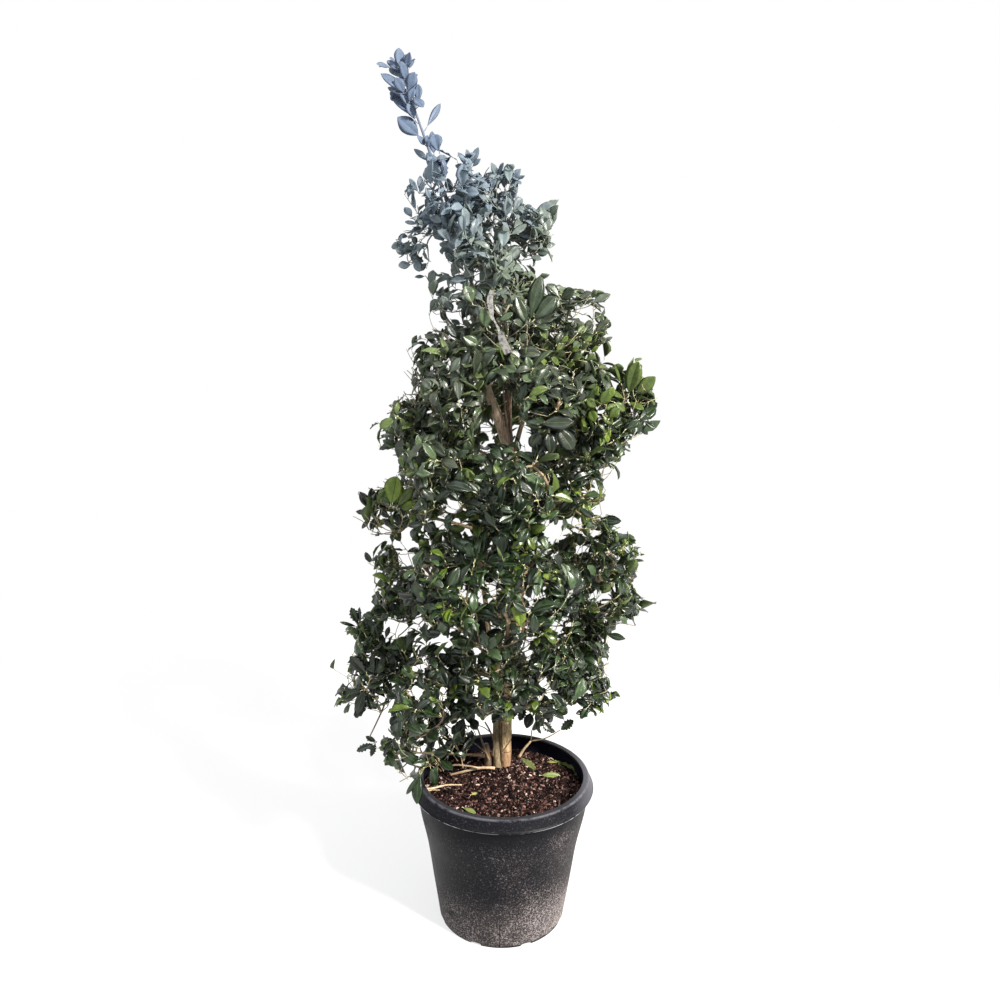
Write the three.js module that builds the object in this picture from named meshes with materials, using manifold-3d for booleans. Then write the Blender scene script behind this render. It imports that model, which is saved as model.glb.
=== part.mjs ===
// A potted holly tree: a nursery pot filled with bark compost, a leaning trunk with a second
// stem beside it, the main boughs, and the crown as separate uneven masses of foliage.
// Millimetres, +Z up. The origin is the middle of the pot's underside; -Y is the front.
import * as THREE from "three";
import { mergeVertices } from "three/addons/utils/BufferGeometryUtils.js";
import Module from "manifold-3d";

const wasm = await Module();
wasm.setup();

const gap = 0.35; // clearance between neighbouring solids
const pot = {
  height: 396,
  footRadius: 170.5,
  footRound: 6,
  waist: { radius: 201, height: 214 }, // outside of the wall where it starts to flare
  shoulder: { radius: 220, height: 300 },
  neck: { radius: 228.5, height: 357 }, // just under the lip
  lipRadius: 241,
  lipDrop: 31,
  crestRadius: 228, // outer corner of the lip's flat top
  crestWidth: 9,
  wall: 3,
  floor: 4,
  segments: 30,
};
const drain = { count: 8, width: 26, height: 9, depth: 22 };
const soil = { level: 350, unevenness: 3, rings: 4 };
const rootBall = { top: 362, radius: 46, spread: 14, x: -4, y: 92 };
const trunk = {
  sides: 8,
  steps: 28,
  baseRadius: 17.5,
  flare: 7, // added to the radius at the soil
  flareHeight: 60,
  forkHeight: 1262,
  forkRadius: 13,
  tipRadius: 1.5,
};
const trunkAxis = [
  [7, 90, rootBall.top + gap],
  [5, 90, 560],
  [14, 90, 707],
  [47, 90, 961],
  [52, 90, 1070],
  [14, 90, 1256],
  [-49, 75, 1398],
  [-78, 60, 1560],
  [-115, 45, 1750],
  [-165, 35, 1894],
  [-214, 28, 2025],
  [-266, 20, 2168],
];
const limb = { sides: 6, steps: 5, seatDepth: 0.45 };
const foliage = { fill: 1.07, lumps: 0.066, jitter: 0.05, lowest: pot.height + 6, fineFrom: 125 };

const colours = {
  pot: { color: 0x2c2d31, roughness: 0.6 },
  soil: { color: 0x3a2823, roughness: 0.95 },
  bark: { color: 0x9a8468, roughness: 0.85 },
  shoot: { color: 0x6f5a48, roughness: 0.8 },
  leaves: { color: 0x2c4230, roughness: 0.45 },
};

// Each mass: its middle and its half width, half depth and half height; lean in degrees.
const masses = [
  { name: "leader_tip", at: [-262, 20, 2118], half: [36, 48, 76], lean: -14 },
  { name: "leader_neck", at: [-207, 38, 2012], half: [38, 50, 62], lean: -22 },
  { name: "top_left", at: [-222, 50, 1795], half: [52, 85, 108], lean: 8 },
  { name: "top_middle", at: [-135, 0, 1845], half: [60, 90, 125] },
  { name: "top_right", at: [-30, 40, 1840], half: [68, 100, 118] },
  { name: "top_outer", at: [62, 50, 1780], half: [48, 80, 92], lean: 8 },
  { name: "top_front", at: [-75, -35, 1700], half: [78, 85, 75] },
  { name: "top_back", at: [-85, 170, 1790], half: [95, 80, 120] },
  { name: "upper_left", at: [-150, 30, 1575], half: [62, 110, 98] },
  { name: "upper_front", at: [-15, -65, 1550], half: [85, 100, 92] },
  { name: "upper_right", at: [148, 50, 1580], half: [100, 130, 80], lean: -16 },
  { name: "upper_back", at: [0, 220, 1620], half: [125, 100, 110] },
  { name: "shoulder_left", at: [-205, 70, 1462], half: [66, 110, 62] },
  { name: "mid_left", at: [-240, 40, 1335], half: [90, 140, 88] },
  { name: "mid_front_left", at: [-112, -65, 1385], half: [74, 120, 105] },
  { name: "mid_front", at: [85, -80, 1405], half: [88, 130, 104] },
  { name: "mid_right", at: [238, 60, 1360], half: [90, 160, 118] },
  { name: "right_tip", at: [320, 30, 1398], half: [56, 80, 78], lean: 10 },
  { name: "mid_back", at: [-60, 270, 1400], half: [150, 120, 140] },
  { name: "mid_back_right", at: [160, 250, 1410], half: [115, 110, 120] },
  { name: "waist_left", at: [-302, 60, 1105], half: [98, 150, 88], lean: -6 },
  { name: "waist_front_left", at: [-160, -100, 1195], half: [100, 140, 120] },
  { name: "waist_front", at: [15, -145, 1175], half: [104, 130, 122] },
  { name: "waist_right", at: [205, 50, 1155], half: [95, 160, 118] },
  { name: "waist_back", at: [-110, 300, 1120], half: [165, 130, 150] },
  { name: "waist_back_right", at: [150, 290, 1140], half: [135, 120, 140] },
  { name: "belly_left", at: [-270, 80, 885], half: [98, 170, 124] },
  { name: "belly_front_left", at: [-130, -120, 935], half: [94, 140, 128] },
  { name: "belly_front", at: [50, -145, 935], half: [104, 130, 126] },
  { name: "belly_right", at: [255, 80, 910], half: [106, 170, 146] },
  { name: "belly_back", at: [-90, 310, 830], half: [170, 130, 155] },
  { name: "belly_back_right", at: [160, 290, 840], half: [140, 120, 140] },
  { name: "side_sprig", at: [-375, 30, 790], half: [48, 60, 38] },
  { name: "low_left", at: [-342, 50, 670], half: [98, 140, 124], lean: 12 },
  { name: "low_front_left", at: [-185, -80, 660], half: [90, 130, 130] },
  { name: "low_front", at: [-30, -115, 705], half: [80, 110, 108] },
  { name: "low_front_right", at: [105, -75, 700], half: [90, 130, 112] },
  { name: "low_right", at: [228, 80, 670], half: [66, 140, 124] },
  { name: "low_back", at: [-5, 270, 600], half: [190, 115, 130] },
  { name: "rim_hang", at: [-258, -95, 500], half: [48, 60, 108], lean: 10 },
  { name: "soil_left", at: [-150, 20, 470], half: [80, 90, 62] },
  { name: "low_sprig", at: [-365, -20, 478], half: [27, 36, 30] },
];

// Each bough: the height at which it leaves the trunk, the mass that it carries, its radius
// where it starts, and how steeply it rises before it bends outwards.
const boughs = [
  { name: "stem_second", start: [-23.5, 90, rootBall.top + gap], into: "waist_back", radius: 11, rise: 0.5 },
  { name: "fork_front", from: 1270, into: "upper_front", radius: 6, rise: 0.45 },
  { name: "fork_middle", from: 1282, into: "top_right", radius: 6.5, rise: 0.5 },
  { name: "fork_right", from: 1248, into: "upper_right", radius: 8, rise: 0.35 },
  { name: "bough_mid_left", from: 1190, into: "mid_left", radius: 6, rise: 0.1 },
  { name: "bough_mid_right", from: 1170, into: "mid_right", radius: 7, rise: 0.15 },
  { name: "bough_waist_left", from: 985, into: "waist_left", radius: 7, rise: 0.15 },
  { name: "bough_waist_right", from: 1040, into: "waist_right", radius: 7, rise: 0.05 },
  { name: "bough_belly_left", from: 770, into: "belly_left", radius: 7.5, rise: 0.1 },
  { name: "bough_belly_right", from: 750, into: "belly_right", radius: 8, rise: 0.15 },
  { name: "bough_low_left", from: 590, into: "low_left", radius: 7, rise: 0.05 },
  { name: "bough_low_right", from: 600, into: "low_right", radius: 6, rise: 0.05 },
  { name: "bough_low_front", from: 640, into: "low_front", radius: 5.5, rise: 0.05 },
  { name: "shoot_left", from: 392, into: "rim_hang", radius: 5, rise: 0.02 },
  { name: "shoot_sprig", start: [-312, 0, 600], into: "low_sprig", radius: 3, rise: -0.1 },
];

// A closed manifold solid from a three.js geometry, whichever way its faces point.
function solid(geometry) {
  geometry.deleteAttribute("normal");
  geometry.deleteAttribute("uv");
  const merged = mergeVertices(geometry, 1e-4);
  const index = merged.index.array;
  const triangles = [];
  for (let i = 0; i < index.length; i += 3) {
    const [a, b, c] = [index[i], index[i + 1], index[i + 2]];
    if (a !== b && b !== c && c !== a) triangles.push(a, b, c);
  }
  if (volume(merged.attributes.position, triangles) < 0) triangles.reverse();
  return new wasm.Manifold(
    new wasm.Mesh({
      numProp: 3,
      vertProperties: new Float32Array(merged.attributes.position.array),
      triVerts: new Uint32Array(triangles),
    }),
  );
}

function volume(position, triangles) {
  const [a, b, c] = [new THREE.Vector3(), new THREE.Vector3(), new THREE.Vector3()];
  let sum = 0;
  for (let i = 0; i < triangles.length; i += 3) {
    a.fromBufferAttribute(position, triangles[i]);
    b.fromBufferAttribute(position, triangles[i + 1]);
    c.fromBufferAttribute(position, triangles[i + 2]);
    sum += a.dot(b.cross(c));
  }
  return sum;
}

function largestPiece(manifold) {
  const pieces = manifold.decompose();
  return pieces.reduce((best, piece) => (piece.volume() > best.volume() ? piece : best));
}

// The same small numbers every time: a seeded generator of values from 0 to 1.
function randomFrom(seed) {
  let state = seed * 2654435761 + 12345;
  return () => {
    state = (state * 1664525 + 1013904223) % 4294967296;
    return state / 4294967296;
  };
}

function turned(profile, segments) {
  const geometry = new THREE.LatheGeometry(profile.map(([r, z]) => new THREE.Vector2(r, z)), segments);
  return geometry.rotateX(Math.PI / 2);
}

// The inside of the wall: straight between the heights where the taper changes.
const wallHeights = [0, pot.waist.height, pot.shoulder.height, pot.neck.height];
const wallRadii = [pot.footRadius, pot.waist.radius, pot.shoulder.radius, pot.neck.radius];
function innerRadius(z) {
  const i = wallHeights.findLastIndex((height, index) => height <= z && index < wallHeights.length - 1);
  const share = (z - wallHeights[i]) / (wallHeights[i + 1] - wallHeights[i]);
  return THREE.MathUtils.lerp(wallRadii[i], wallRadii[i + 1], share) - pot.wall;
}

// The pot: a tapered wall that flares under a lip, which turns out and down like a gutter.
function makePot() {
  const { height, footRadius, footRound, waist, shoulder, neck, lipRadius, lipDrop, crestRadius, crestWidth, wall, floor } = pot;
  const lipFoot = height - lipDrop;
  const profile = [
    [0, 0],
    [footRadius - footRound, 0],
    [footRadius - footRound * 0.3, footRound * 0.3],
    [footRadius, footRound],
    [waist.radius, waist.height],
    [shoulder.radius, shoulder.height],
    [neck.radius, neck.height],
    [crestRadius + 1, height - 4 * wall],
    [lipRadius - wall, lipFoot],
    [lipRadius, lipFoot],
    [crestRadius + 0.5, height - 1],
    [crestRadius - 1, height],
    [crestRadius - crestWidth, height - 1],
    [crestRadius - crestWidth, height - 2 * wall],
    [neck.radius - wall, neck.height],
    [shoulder.radius - wall, shoulder.height],
    [waist.radius - wall, waist.height],
    [innerRadius(floor), floor],
    [0, floor],
  ];
  const shell = solid(turned(profile, pot.segments));
  return shell.subtract(makeDrains());
}

// Arched drain holes round the bottom edge, through the wall and the rim of the floor.
function makeDrains() {
  const arch = new THREE.Shape();
  arch.moveTo(-drain.width / 2, -1);
  arch.lineTo(drain.width / 2, -1);
  arch.lineTo(drain.width / 2, drain.height * 0.4);
  arch.quadraticCurveTo(0, drain.height * 1.6, -drain.width / 2, drain.height * 0.4);
  const options = { depth: drain.depth, bevelEnabled: false, curveSegments: 4 };
  let holes = null;
  for (let i = 0; i < drain.count; i += 1) {
    const hole = new THREE.ExtrudeGeometry(arch, options);
    hole.rotateX(Math.PI / 2).translate(0, -(pot.footRadius - drain.depth / 2), 0);
    hole.rotateZ(((i + 0.5) / drain.count) * 2 * Math.PI);
    holes = holes ? holes.add(solid(hole)) : solid(hole);
  }
  return holes;
}

// The compost fills the pot to below the rim, and the root ball stands a little proud of it.
function makeSoil() {
  const clear = 0.4;
  const profile = [
    [0, pot.floor + clear],
    ...[pot.floor + clear, pot.waist.height, pot.shoulder.height].map((z) => [innerRadius(z) - clear, z]),
  ];
  const reach = innerRadius(soil.level) - clear;
  for (let i = soil.rings; i >= 0; i -= 1) profile.push([(reach * i) / soil.rings, soil.level]);
  const geometry = turned(profile, pot.segments / 2);
  const position = geometry.attributes.position;
  for (let i = 0; i < position.count; i += 1) {
    const [x, y, z] = [position.getX(i), position.getY(i), position.getZ(i)];
    if (z < soil.level || Math.hypot(x, y) > reach - 1) continue;
    const wave = Math.sin(x * 0.043 + 1) + Math.sin(y * 0.051 + 2 + x * 0.013);
    position.setZ(i, z + soil.unevenness * wave);
  }
  const { top, radius, spread } = rootBall;
  const mound = new THREE.CylinderGeometry(radius, radius + spread, top - soil.level + 20, 16);
  mound.rotateX(Math.PI / 2).translate(rootBall.x, rootBall.y, (top + soil.level - 20) / 2);
  return solid(geometry).add(solid(mound));
}

// A round tapering limb: a cylinder bent along a curve. The extra widens it all over.
function makeLimb(curve, radiusAt, sides, steps, extra = 0) {
  const geometry = new THREE.CylinderGeometry(1, 1, 1, sides, steps);
  const frames = curve.computeFrenetFrames(steps);
  const points = curve.getSpacedPoints(steps);
  const position = geometry.attributes.position;
  for (let i = 0; i < position.count; i += 1) {
    const along = position.getY(i) + 0.5;
    const step = Math.round(along * steps);
    const radius = radiusAt(along) + extra;
    const place = points[step].clone();
    place.addScaledVector(frames.normals[step], position.getX(i) * radius);
    place.addScaledVector(frames.binormals[step], position.getZ(i) * radius);
    if (step === 0) place.addScaledVector(frames.tangents[step], -extra);
    if (step === steps) place.addScaledVector(frames.tangents[step], extra);
    position.setXYZ(i, place.x, place.y, place.z);
  }
  return solid(geometry);
}

const trunkCurve = new THREE.CatmullRomCurve3(trunkAxis.map(([x, y, z]) => new THREE.Vector3(x, y, z)));

// How far along the trunk a height lies, from 0 to 1: the trunk only ever rises.
function trunkShare(height) {
  let [low, high] = [0, 1];
  for (let i = 0; i < 24; i += 1) {
    const middle = (low + high) / 2;
    if (trunkCurve.getPointAt(middle).z < height) low = middle;
    else high = middle;
  }
  return low;
}

const forkAlong = trunkShare(trunk.forkHeight);

function trunkRadius(along) {
  const up = along * trunkCurve.getLength();
  const flare = trunk.flare * Math.max(0, 1 - up / trunk.flareHeight) ** 2;
  if (along < forkAlong) {
    return THREE.MathUtils.lerp(trunk.baseRadius, trunk.forkRadius, along / forkAlong) + flare;
  }
  const above = (along - forkAlong) / (1 - forkAlong);
  return THREE.MathUtils.lerp(trunk.forkRadius, trunk.tipRadius, above ** 0.85);
}

function makeTrunk(extra = 0) {
  const bent = makeLimb(trunkCurve, trunkRadius, trunk.sides, trunk.steps, extra);
  return bent.trimByPlane([0, 0, 1], rootBall.top + gap - extra);
}

// A bough leaves the trunk, rises, bends outwards and ends a little way inside its mass.
function boughCurve(bough, mass) {
  const leaves = bough.start ? null : trunkCurve.getPointAt(trunkShare(bough.from));
  const start = leaves ?? new THREE.Vector3(...bough.start);
  const middle = new THREE.Vector3(...mass.at);
  const end = middle.clone().lerp(start, limb.seatDepth * massShare(mass, start));
  const length = start.distanceTo(end);
  const up = new THREE.Vector3(0, 0, 1);
  const first = start.clone().lerp(end, 0.3).addScaledVector(up, length * bough.rise * 0.6);
  if (bough.start) first.copy(start).addScaledVector(up, length * bough.rise);
  const second = start.clone().lerp(end, 0.75).addScaledVector(up, length * bough.rise * 0.2);
  return new THREE.CubicBezierCurve3(start, first, second, end);
}

// How large a share of the way from its middle to the bough's start the mass takes up.
function massShare(mass, start) {
  const away = start.clone().sub(new THREE.Vector3(...mass.at));
  return Math.min(1, radiusAlong(mass, away.clone().normalize()) / away.length());
}

function makeBough(bough, extra = 0) {
  const mass = masses.find((candidate) => candidate.name === bough.into);
  const radiusAt = (along) => bough.radius * (1 - 0.55 * along);
  return makeLimb(boughCurve(bough, mass), radiusAt, limb.sides, limb.steps, extra);
}

// The distance from a mass's middle to its plain ellipsoid in a unit direction.
function radiusAlong(mass, direction) {
  const lean = THREE.MathUtils.degToRad(mass.lean ?? 0);
  const turnedBack = direction.clone().applyAxisAngle(new THREE.Vector3(0, 1, 0), -lean);
  const [width, depth, height] = mass.half;
  return 1 / Math.hypot(turnedBack.x / width, turnedBack.y / depth, turnedBack.z / height);
}

// Planes halfway between a mass and each of its neighbours, as { normal, distance } from its
// middle, so that no two masses ever meet.
function limitsOf(mass) {
  const middle = new THREE.Vector3(...mass.at);
  const limits = [{ normal: new THREE.Vector3(0, 0, -1), distance: middle.z - foliage.lowest }];
  for (const other of masses) {
    if (other === mass) continue;
    const away = new THREE.Vector3(...other.at).sub(middle);
    const normal = away.clone().normalize();
    const own = radiusAlong(mass, normal);
    const share = own / (own + radiusAlong(other, normal.clone().negate()));
    limits.push({ normal, distance: away.length() * share - gap / 2 });
  }
  return limits;
}

// An uneven closed lump of foliage: a ball stretched to size, swollen into lumps, and kept
// on its own side of each limit.
function makeMass(mass, seed) {
  const random = randomFrom(seed);
  const waves = [4.2, 6.4, 9.4].map((count) => ({
    along: new THREE.Vector3(random() - 0.5, random() - 0.5, random() - 0.5).setLength(count),
    phase: random() * 6.28,
  }));
  const limits = limitsOf(mass);
  const fine = Math.max(...mass.half) > foliage.fineFrom;
  const ball = fine ? new THREE.IcosahedronGeometry(1, 2) : new THREE.SphereGeometry(1, 10, 7);
  ball.deleteAttribute("normal");
  ball.deleteAttribute("uv");
  const geometry = mergeVertices(ball, 1e-4);
  const position = geometry.attributes.position;
  const direction = new THREE.Vector3();
  for (let i = 0; i < position.count; i += 1) {
    direction.fromBufferAttribute(position, i).normalize();
    let swell = foliage.fill + foliage.jitter * (random() * 2 - 1);
    for (const wave of waves) swell += foliage.lumps * Math.cos(direction.dot(wave.along) + wave.phase);
    let reach = radiusAlong(mass, direction) * swell;
    for (const limit of limits) {
      const facing = direction.dot(limit.normal);
      if (facing > 1e-6) reach = Math.min(reach, limit.distance / facing);
    }
    direction.multiplyScalar(reach);
    position.setXYZ(i, direction.x + mass.at[0], direction.y + mass.at[1], direction.z + mass.at[2]);
  }
  return solid(geometry);
}

function boxesMeet(first, second) {
  const [a, b] = [first.boundingBox(), second.boundingBox()];
  return [0, 1, 2].every((axis) => a.min[axis] < b.max[axis] && b.min[axis] < a.max[axis]);
}

const tree = new THREE.Group();

function addMesh(name, manifold, colour) {
  const { vertProperties, triVerts, numProp } = manifold.getMesh();
  const geometry = new THREE.BufferGeometry();
  const count = vertProperties.length / numProp;
  const positions = new Float32Array(count * 3);
  for (let i = 0; i < count; i += 1) {
    positions.set(vertProperties.subarray(i * numProp, i * numProp + 3), i * 3);
  }
  geometry.setAttribute("position", new THREE.BufferAttribute(positions, 3));
  geometry.setIndex(new THREE.BufferAttribute(new Uint32Array(triVerts), 1));
  geometry.computeVertexNormals();
  const mesh = new THREE.Mesh(geometry, new THREE.MeshStandardMaterial({ ...colour, metalness: 0 }));
  mesh.name = name;
  tree.add(mesh);
}

addMesh("pot", makePot(), colours.pot);
addMesh("soil", makeSoil(), colours.soil);

const trunkSolid = makeTrunk();
addMesh("trunk", trunkSolid, colours.bark);

// Limbs are cut clear of those already placed; the widened copies later cut the foliage.
const cutters = [makeTrunk(gap)];
for (const bough of boughs) {
  let shape = makeBough(bough);
  for (const cutter of cutters) {
    if (boxesMeet(shape, cutter)) shape = shape.subtract(cutter);
  }
  shape = largestPiece(shape);
  cutters.push(makeBough(bough, gap));
  addMesh(bough.name, shape, bough.radius > 5.2 ? colours.bark : colours.shoot);
}

masses.forEach((mass, number) => {
  let shape = makeMass(mass, number + 1);
  for (const cutter of cutters) {
    if (boxesMeet(shape, cutter)) shape = shape.subtract(cutter);
  }
  addMesh(mass.name, largestPiece(shape), colours.leaves);
});

export default tree;
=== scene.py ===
import math
import random
import time
from collections import namedtuple

import bmesh
import bpy
import numpy as np
from mathutils import Matrix, Vector, noise
from mathutils.bvhtree import BVHTree


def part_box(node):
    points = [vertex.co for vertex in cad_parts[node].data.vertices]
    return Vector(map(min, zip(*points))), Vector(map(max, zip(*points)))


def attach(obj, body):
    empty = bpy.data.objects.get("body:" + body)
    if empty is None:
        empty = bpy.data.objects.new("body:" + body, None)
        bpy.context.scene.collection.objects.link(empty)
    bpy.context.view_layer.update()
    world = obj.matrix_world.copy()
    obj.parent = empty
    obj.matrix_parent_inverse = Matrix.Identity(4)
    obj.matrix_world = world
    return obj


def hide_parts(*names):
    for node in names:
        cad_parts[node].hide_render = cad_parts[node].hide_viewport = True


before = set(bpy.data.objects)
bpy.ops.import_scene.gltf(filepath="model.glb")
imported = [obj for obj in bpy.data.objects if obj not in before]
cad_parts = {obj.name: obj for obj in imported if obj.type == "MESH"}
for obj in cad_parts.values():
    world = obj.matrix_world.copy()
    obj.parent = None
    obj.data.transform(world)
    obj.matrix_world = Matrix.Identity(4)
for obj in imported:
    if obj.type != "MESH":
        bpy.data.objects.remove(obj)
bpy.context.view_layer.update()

started = time.time()

# Metres. +Z is up, -Y is the front, and the origin is the middle of the pot's underside.

camera = {
    "place": (0.0, -1.988, 1.493),
    "pitchDown": 10.10,  # degrees
    "roll": 0.74,
    "lens": 28.8,
    "sensor": 36.0,
    "shiftX": -0.0068,
    "frame": 1000,  # pixels across and down
}


def report(stage):
    print(f"{stage}: {time.time() - started:.1f} s")


def addCamera(spec):
    data = bpy.data.cameras.new("camera")
    data.lens = spec["lens"]
    data.sensor_width = spec["sensor"]
    data.shift_x = spec["shiftX"]
    thing = bpy.data.objects.new("camera", data)
    turn = Matrix.Rotation(math.radians(90 - spec["pitchDown"]), 4, "X")
    roll = Matrix.Rotation(math.radians(spec["roll"]), 4, "Z")
    thing.matrix_world = Matrix.Translation(spec["place"]) @ turn @ roll
    bpy.context.scene.collection.objects.link(thing)
    bpy.context.scene.camera = thing


class Sight:
    # Where a place shows in the frame, and back again on an upright or a level plane
    def __init__(self, spec):
        half = spec["frame"] / 2
        pitch, roll = math.radians(spec["pitchDown"]), math.radians(spec["roll"])
        self.place = np.array(spec["place"])
        self.focal = spec["lens"] / spec["sensor"] * spec["frame"]
        self.middle = (half - spec["shiftX"] * spec["frame"], half)
        self.pitch = (math.cos(pitch), math.sin(pitch))
        self.roll = (math.cos(roll), math.sin(roll))

    def shows(self, points):
        away = np.asarray(points, float) - self.place
        (cosine, sine), (c, s) = self.pitch, self.roll
        depth = away[..., 1] * cosine - away[..., 2] * sine
        u = self.focal * away[..., 0] / depth
        v = -self.focal * (away[..., 1] * sine + away[..., 2] * cosine) / depth
        return np.stack([self.middle[0] + u * c - v * s, self.middle[1] + u * s + v * c], -1)

    def ray(self, x, y):
        (cosine, sine), (c, s) = self.pitch, self.roll
        a, b = x - self.middle[0], y - self.middle[1]
        u, v = (a * c + b * s) / self.focal, (b * c - a * s) / self.focal
        return np.array([u, cosine - v * sine, -sine - v * cosine])

    def at(self, x, y, plane):
        ray = self.ray(x, y)
        return self.place + ray * (plane - self.place[1]) / ray[1]

    def over(self, x, y, height):
        ray = self.ray(x, y)
        return self.place + ray * (height - self.place[2]) / ray[2]


sight = Sight(camera)


class Wire:
    # One output in a node tree. Sums on it add nodes.
    def __init__(self, paint, socket):
        self.paint = paint
        self.socket = socket

    def maths(self, operation, first, second):
        return self.paint.node("ShaderNodeMath", {"operation": operation}, {0: first, 1: second})

    def __add__(self, other):
        return self.maths("ADD", self, other)

    def __sub__(self, other):
        return self.maths("SUBTRACT", self, other)

    def __rsub__(self, other):
        return self.maths("SUBTRACT", other, self)

    def __mul__(self, other):
        return self.maths("MULTIPLY", self, other)

    def __pow__(self, other):
        return self.maths("POWER", self, other)

    def __rpow__(self, other):
        return self.maths("POWER", other, self)

    __radd__ = __add__
    __rmul__ = __mul__

    def clamped(self):
        return self.paint.node("ShaderNodeClamp", {}, {0: self})

    def between(self, low, high):
        # 0 below low, 1 above high, smooth in between
        values = {"Value": self, "From Min": low, "From Max": high}
        return self.paint.node("ShaderNodeMapRange", {"interpolation_type": "SMOOTHSTEP"}, values)


class Paint:
    # One material or world, and the nodes in it
    def __init__(self, name, kind="materials"):
        self.owner = getattr(bpy.data, kind).new(name)
        self.owner.use_nodes = True
        self.tree = self.owner.node_tree
        self.tree.nodes.clear()

    def node(self, kind, settings=None, values=None, out=0):
        made = self.tree.nodes.new(kind)
        for key, value in (settings or {}).items():
            setattr(made, key, value)
        for key, value in (values or {}).items():
            if isinstance(value, Wire):
                self.tree.links.new(value.socket, made.inputs[key])
            else:
                made.inputs[key].default_value = value
        return Wire(self, made.outputs[out] if made.outputs else None)

    def mix(self, share, first, second):
        first, second = ((*c, 1) if isinstance(c, tuple) else c for c in (first, second))
        return self.node("ShaderNodeMix", {"data_type": "RGBA"}, {0: share, 6: first, 7: second}, out=2)

    def place(self):
        return self.node("ShaderNodeTexCoord", out=3)

    def grain(self, scale, detail=3.0, stretch=(1, 1, 1), rough=0.55):
        spot = self.node("ShaderNodeVectorMath", {"operation": "MULTIPLY"}, {0: self.place(), 1: stretch})
        values = {"Vector": spot, "Scale": scale, "Detail": detail, "Roughness": rough}
        return self.node("ShaderNodeTexNoise", {}, values)

    def axis(self, letter):
        return self.node("ShaderNodeSeparateXYZ", {}, {0: self.place()}, out="XYZ".index(letter))

    def bump(self, height, strength, distance):
        return self.node("ShaderNodeBump", {}, {"Height": height, "Strength": strength, "Distance": distance})

    def finish(self, **sockets):
        values = {key.replace("_", " "): value for key, value in sockets.items()}
        shader = self.node("ShaderNodeBsdfPrincipled", {}, values)
        self.node("ShaderNodeOutputMaterial", {}, {0: shader})
        return self.owner


def srgb(red, green, blue):
    # 0-255 screen colour to the linear values that shaders use
    shares = (red / 255, green / 255, blue / 255)
    return tuple(c / 12.92 if c <= 0.04045 else ((c + 0.055) / 1.055) ** 2.4 for c in shares)


def blended(first, second, share):
    return tuple(a + (b - a) * share for a, b in zip(first, second))


def makeMesh(name, points, faces, materials, slots=None, smooth=True):
    # faces: a list of arrays, each of equal-sided faces; slots: a material number for each face
    mesh = bpy.data.meshes.new(name)
    points = np.asarray(points, np.float32)
    mesh.vertices.add(len(points))
    mesh.vertices.foreach_set("co", points.ravel())
    loops = np.concatenate([f.ravel() for f in faces]).astype(np.int32)
    sizes = np.concatenate([np.full(len(f), f.shape[1]) for f in faces]).astype(np.int32)
    mesh.loops.add(len(loops))
    mesh.loops.foreach_set("vertex_index", loops)
    mesh.polygons.add(len(sizes))
    starts = np.concatenate([[0], np.cumsum(sizes)[:-1]]).astype(np.int32)
    mesh.polygons.foreach_set("loop_start", starts)
    mesh.polygons.foreach_set("loop_total", sizes)
    for material in materials:
        mesh.materials.append(material)
    if slots is not None:
        mesh.polygons.foreach_set("material_index", np.concatenate(slots).astype(np.int32))
    mesh.update(calc_edges=True)
    mesh.validate()
    mesh.polygons.foreach_set("use_smooth", np.full(len(mesh.polygons), smooth))
    mesh.update()
    thing = bpy.data.objects.new(name, mesh)
    bpy.context.scene.collection.objects.link(thing)
    return thing


def settle(piece, slotName, *nodes):
    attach(piece, "root")
    if nodes:
        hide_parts(*nodes)


def normalised(rows):
    rows = np.asarray(rows, float)
    return rows / np.maximum(np.linalg.norm(rows, axis=-1, keepdims=True), 1e-9)


def smoothCurve(points, spacing):
    # Catmull-Rom through the points, at roughly even spacing
    points = np.asarray(points, float)
    ends = np.vstack([2 * points[0] - points[1], points, 2 * points[-1] - points[-2]])
    rows = []
    for i in range(1, len(ends) - 2):
        p0, p1, p2, p3 = ends[i - 1:i + 3]
        count = max(1, int(round(np.linalg.norm(p2 - p1) / spacing)))
        t = np.linspace(0, 1, count, endpoint=False)[:, None]
        rows.append(0.5 * (2 * p1 + (p2 - p0) * t + (2 * p0 - 5 * p1 + 4 * p2 - p3) * t ** 2
                           + (3 * p1 - p0 - 3 * p2 + p3) * t ** 3))
    rows.append(points[-1:])
    return np.vstack(rows)


def tubeFrames(path):
    # Two directions across the path at each of its points, which twist as little as they can
    ahead = normalised(np.gradient(path, axis=0))
    start = np.array([1.0, 0, 0]) if abs(ahead[0][0]) < 0.8 else np.array([0, 1.0, 0])
    side = np.zeros_like(path)
    side[0] = start - ahead[0] * np.dot(start, ahead[0])
    side[0] /= np.linalg.norm(side[0])
    for i in range(1, len(path)):
        step = side[i - 1] - ahead[i] * np.dot(side[i - 1], ahead[i])
        side[i] = step / max(np.linalg.norm(step), 1e-9)
    return side, np.cross(ahead, side)


def fullTurn(count):
    return np.linspace(0, 2 * math.pi, count, endpoint=False)


def ringPoints(path, reach, side, across, angles):
    # A ring around each point of the path, with a reach for each of its angles
    return path[:, None, :] + reach[..., None] * (np.cos(angles)[None, :, None] * side[:, None, :]
                                                  + np.sin(angles)[None, :, None] * across[:, None, :])


def ringQuads(ringCount, sides):
    # The faces between rings that follow each other
    ring = np.arange(ringCount - 1)[:, None] * sides
    here = np.arange(sides)[None, :]
    after = (here + 1) % sides
    return np.stack([ring + here, ring + after, ring + sides + after, ring + sides + here], -1).reshape(-1, 4)


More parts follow.
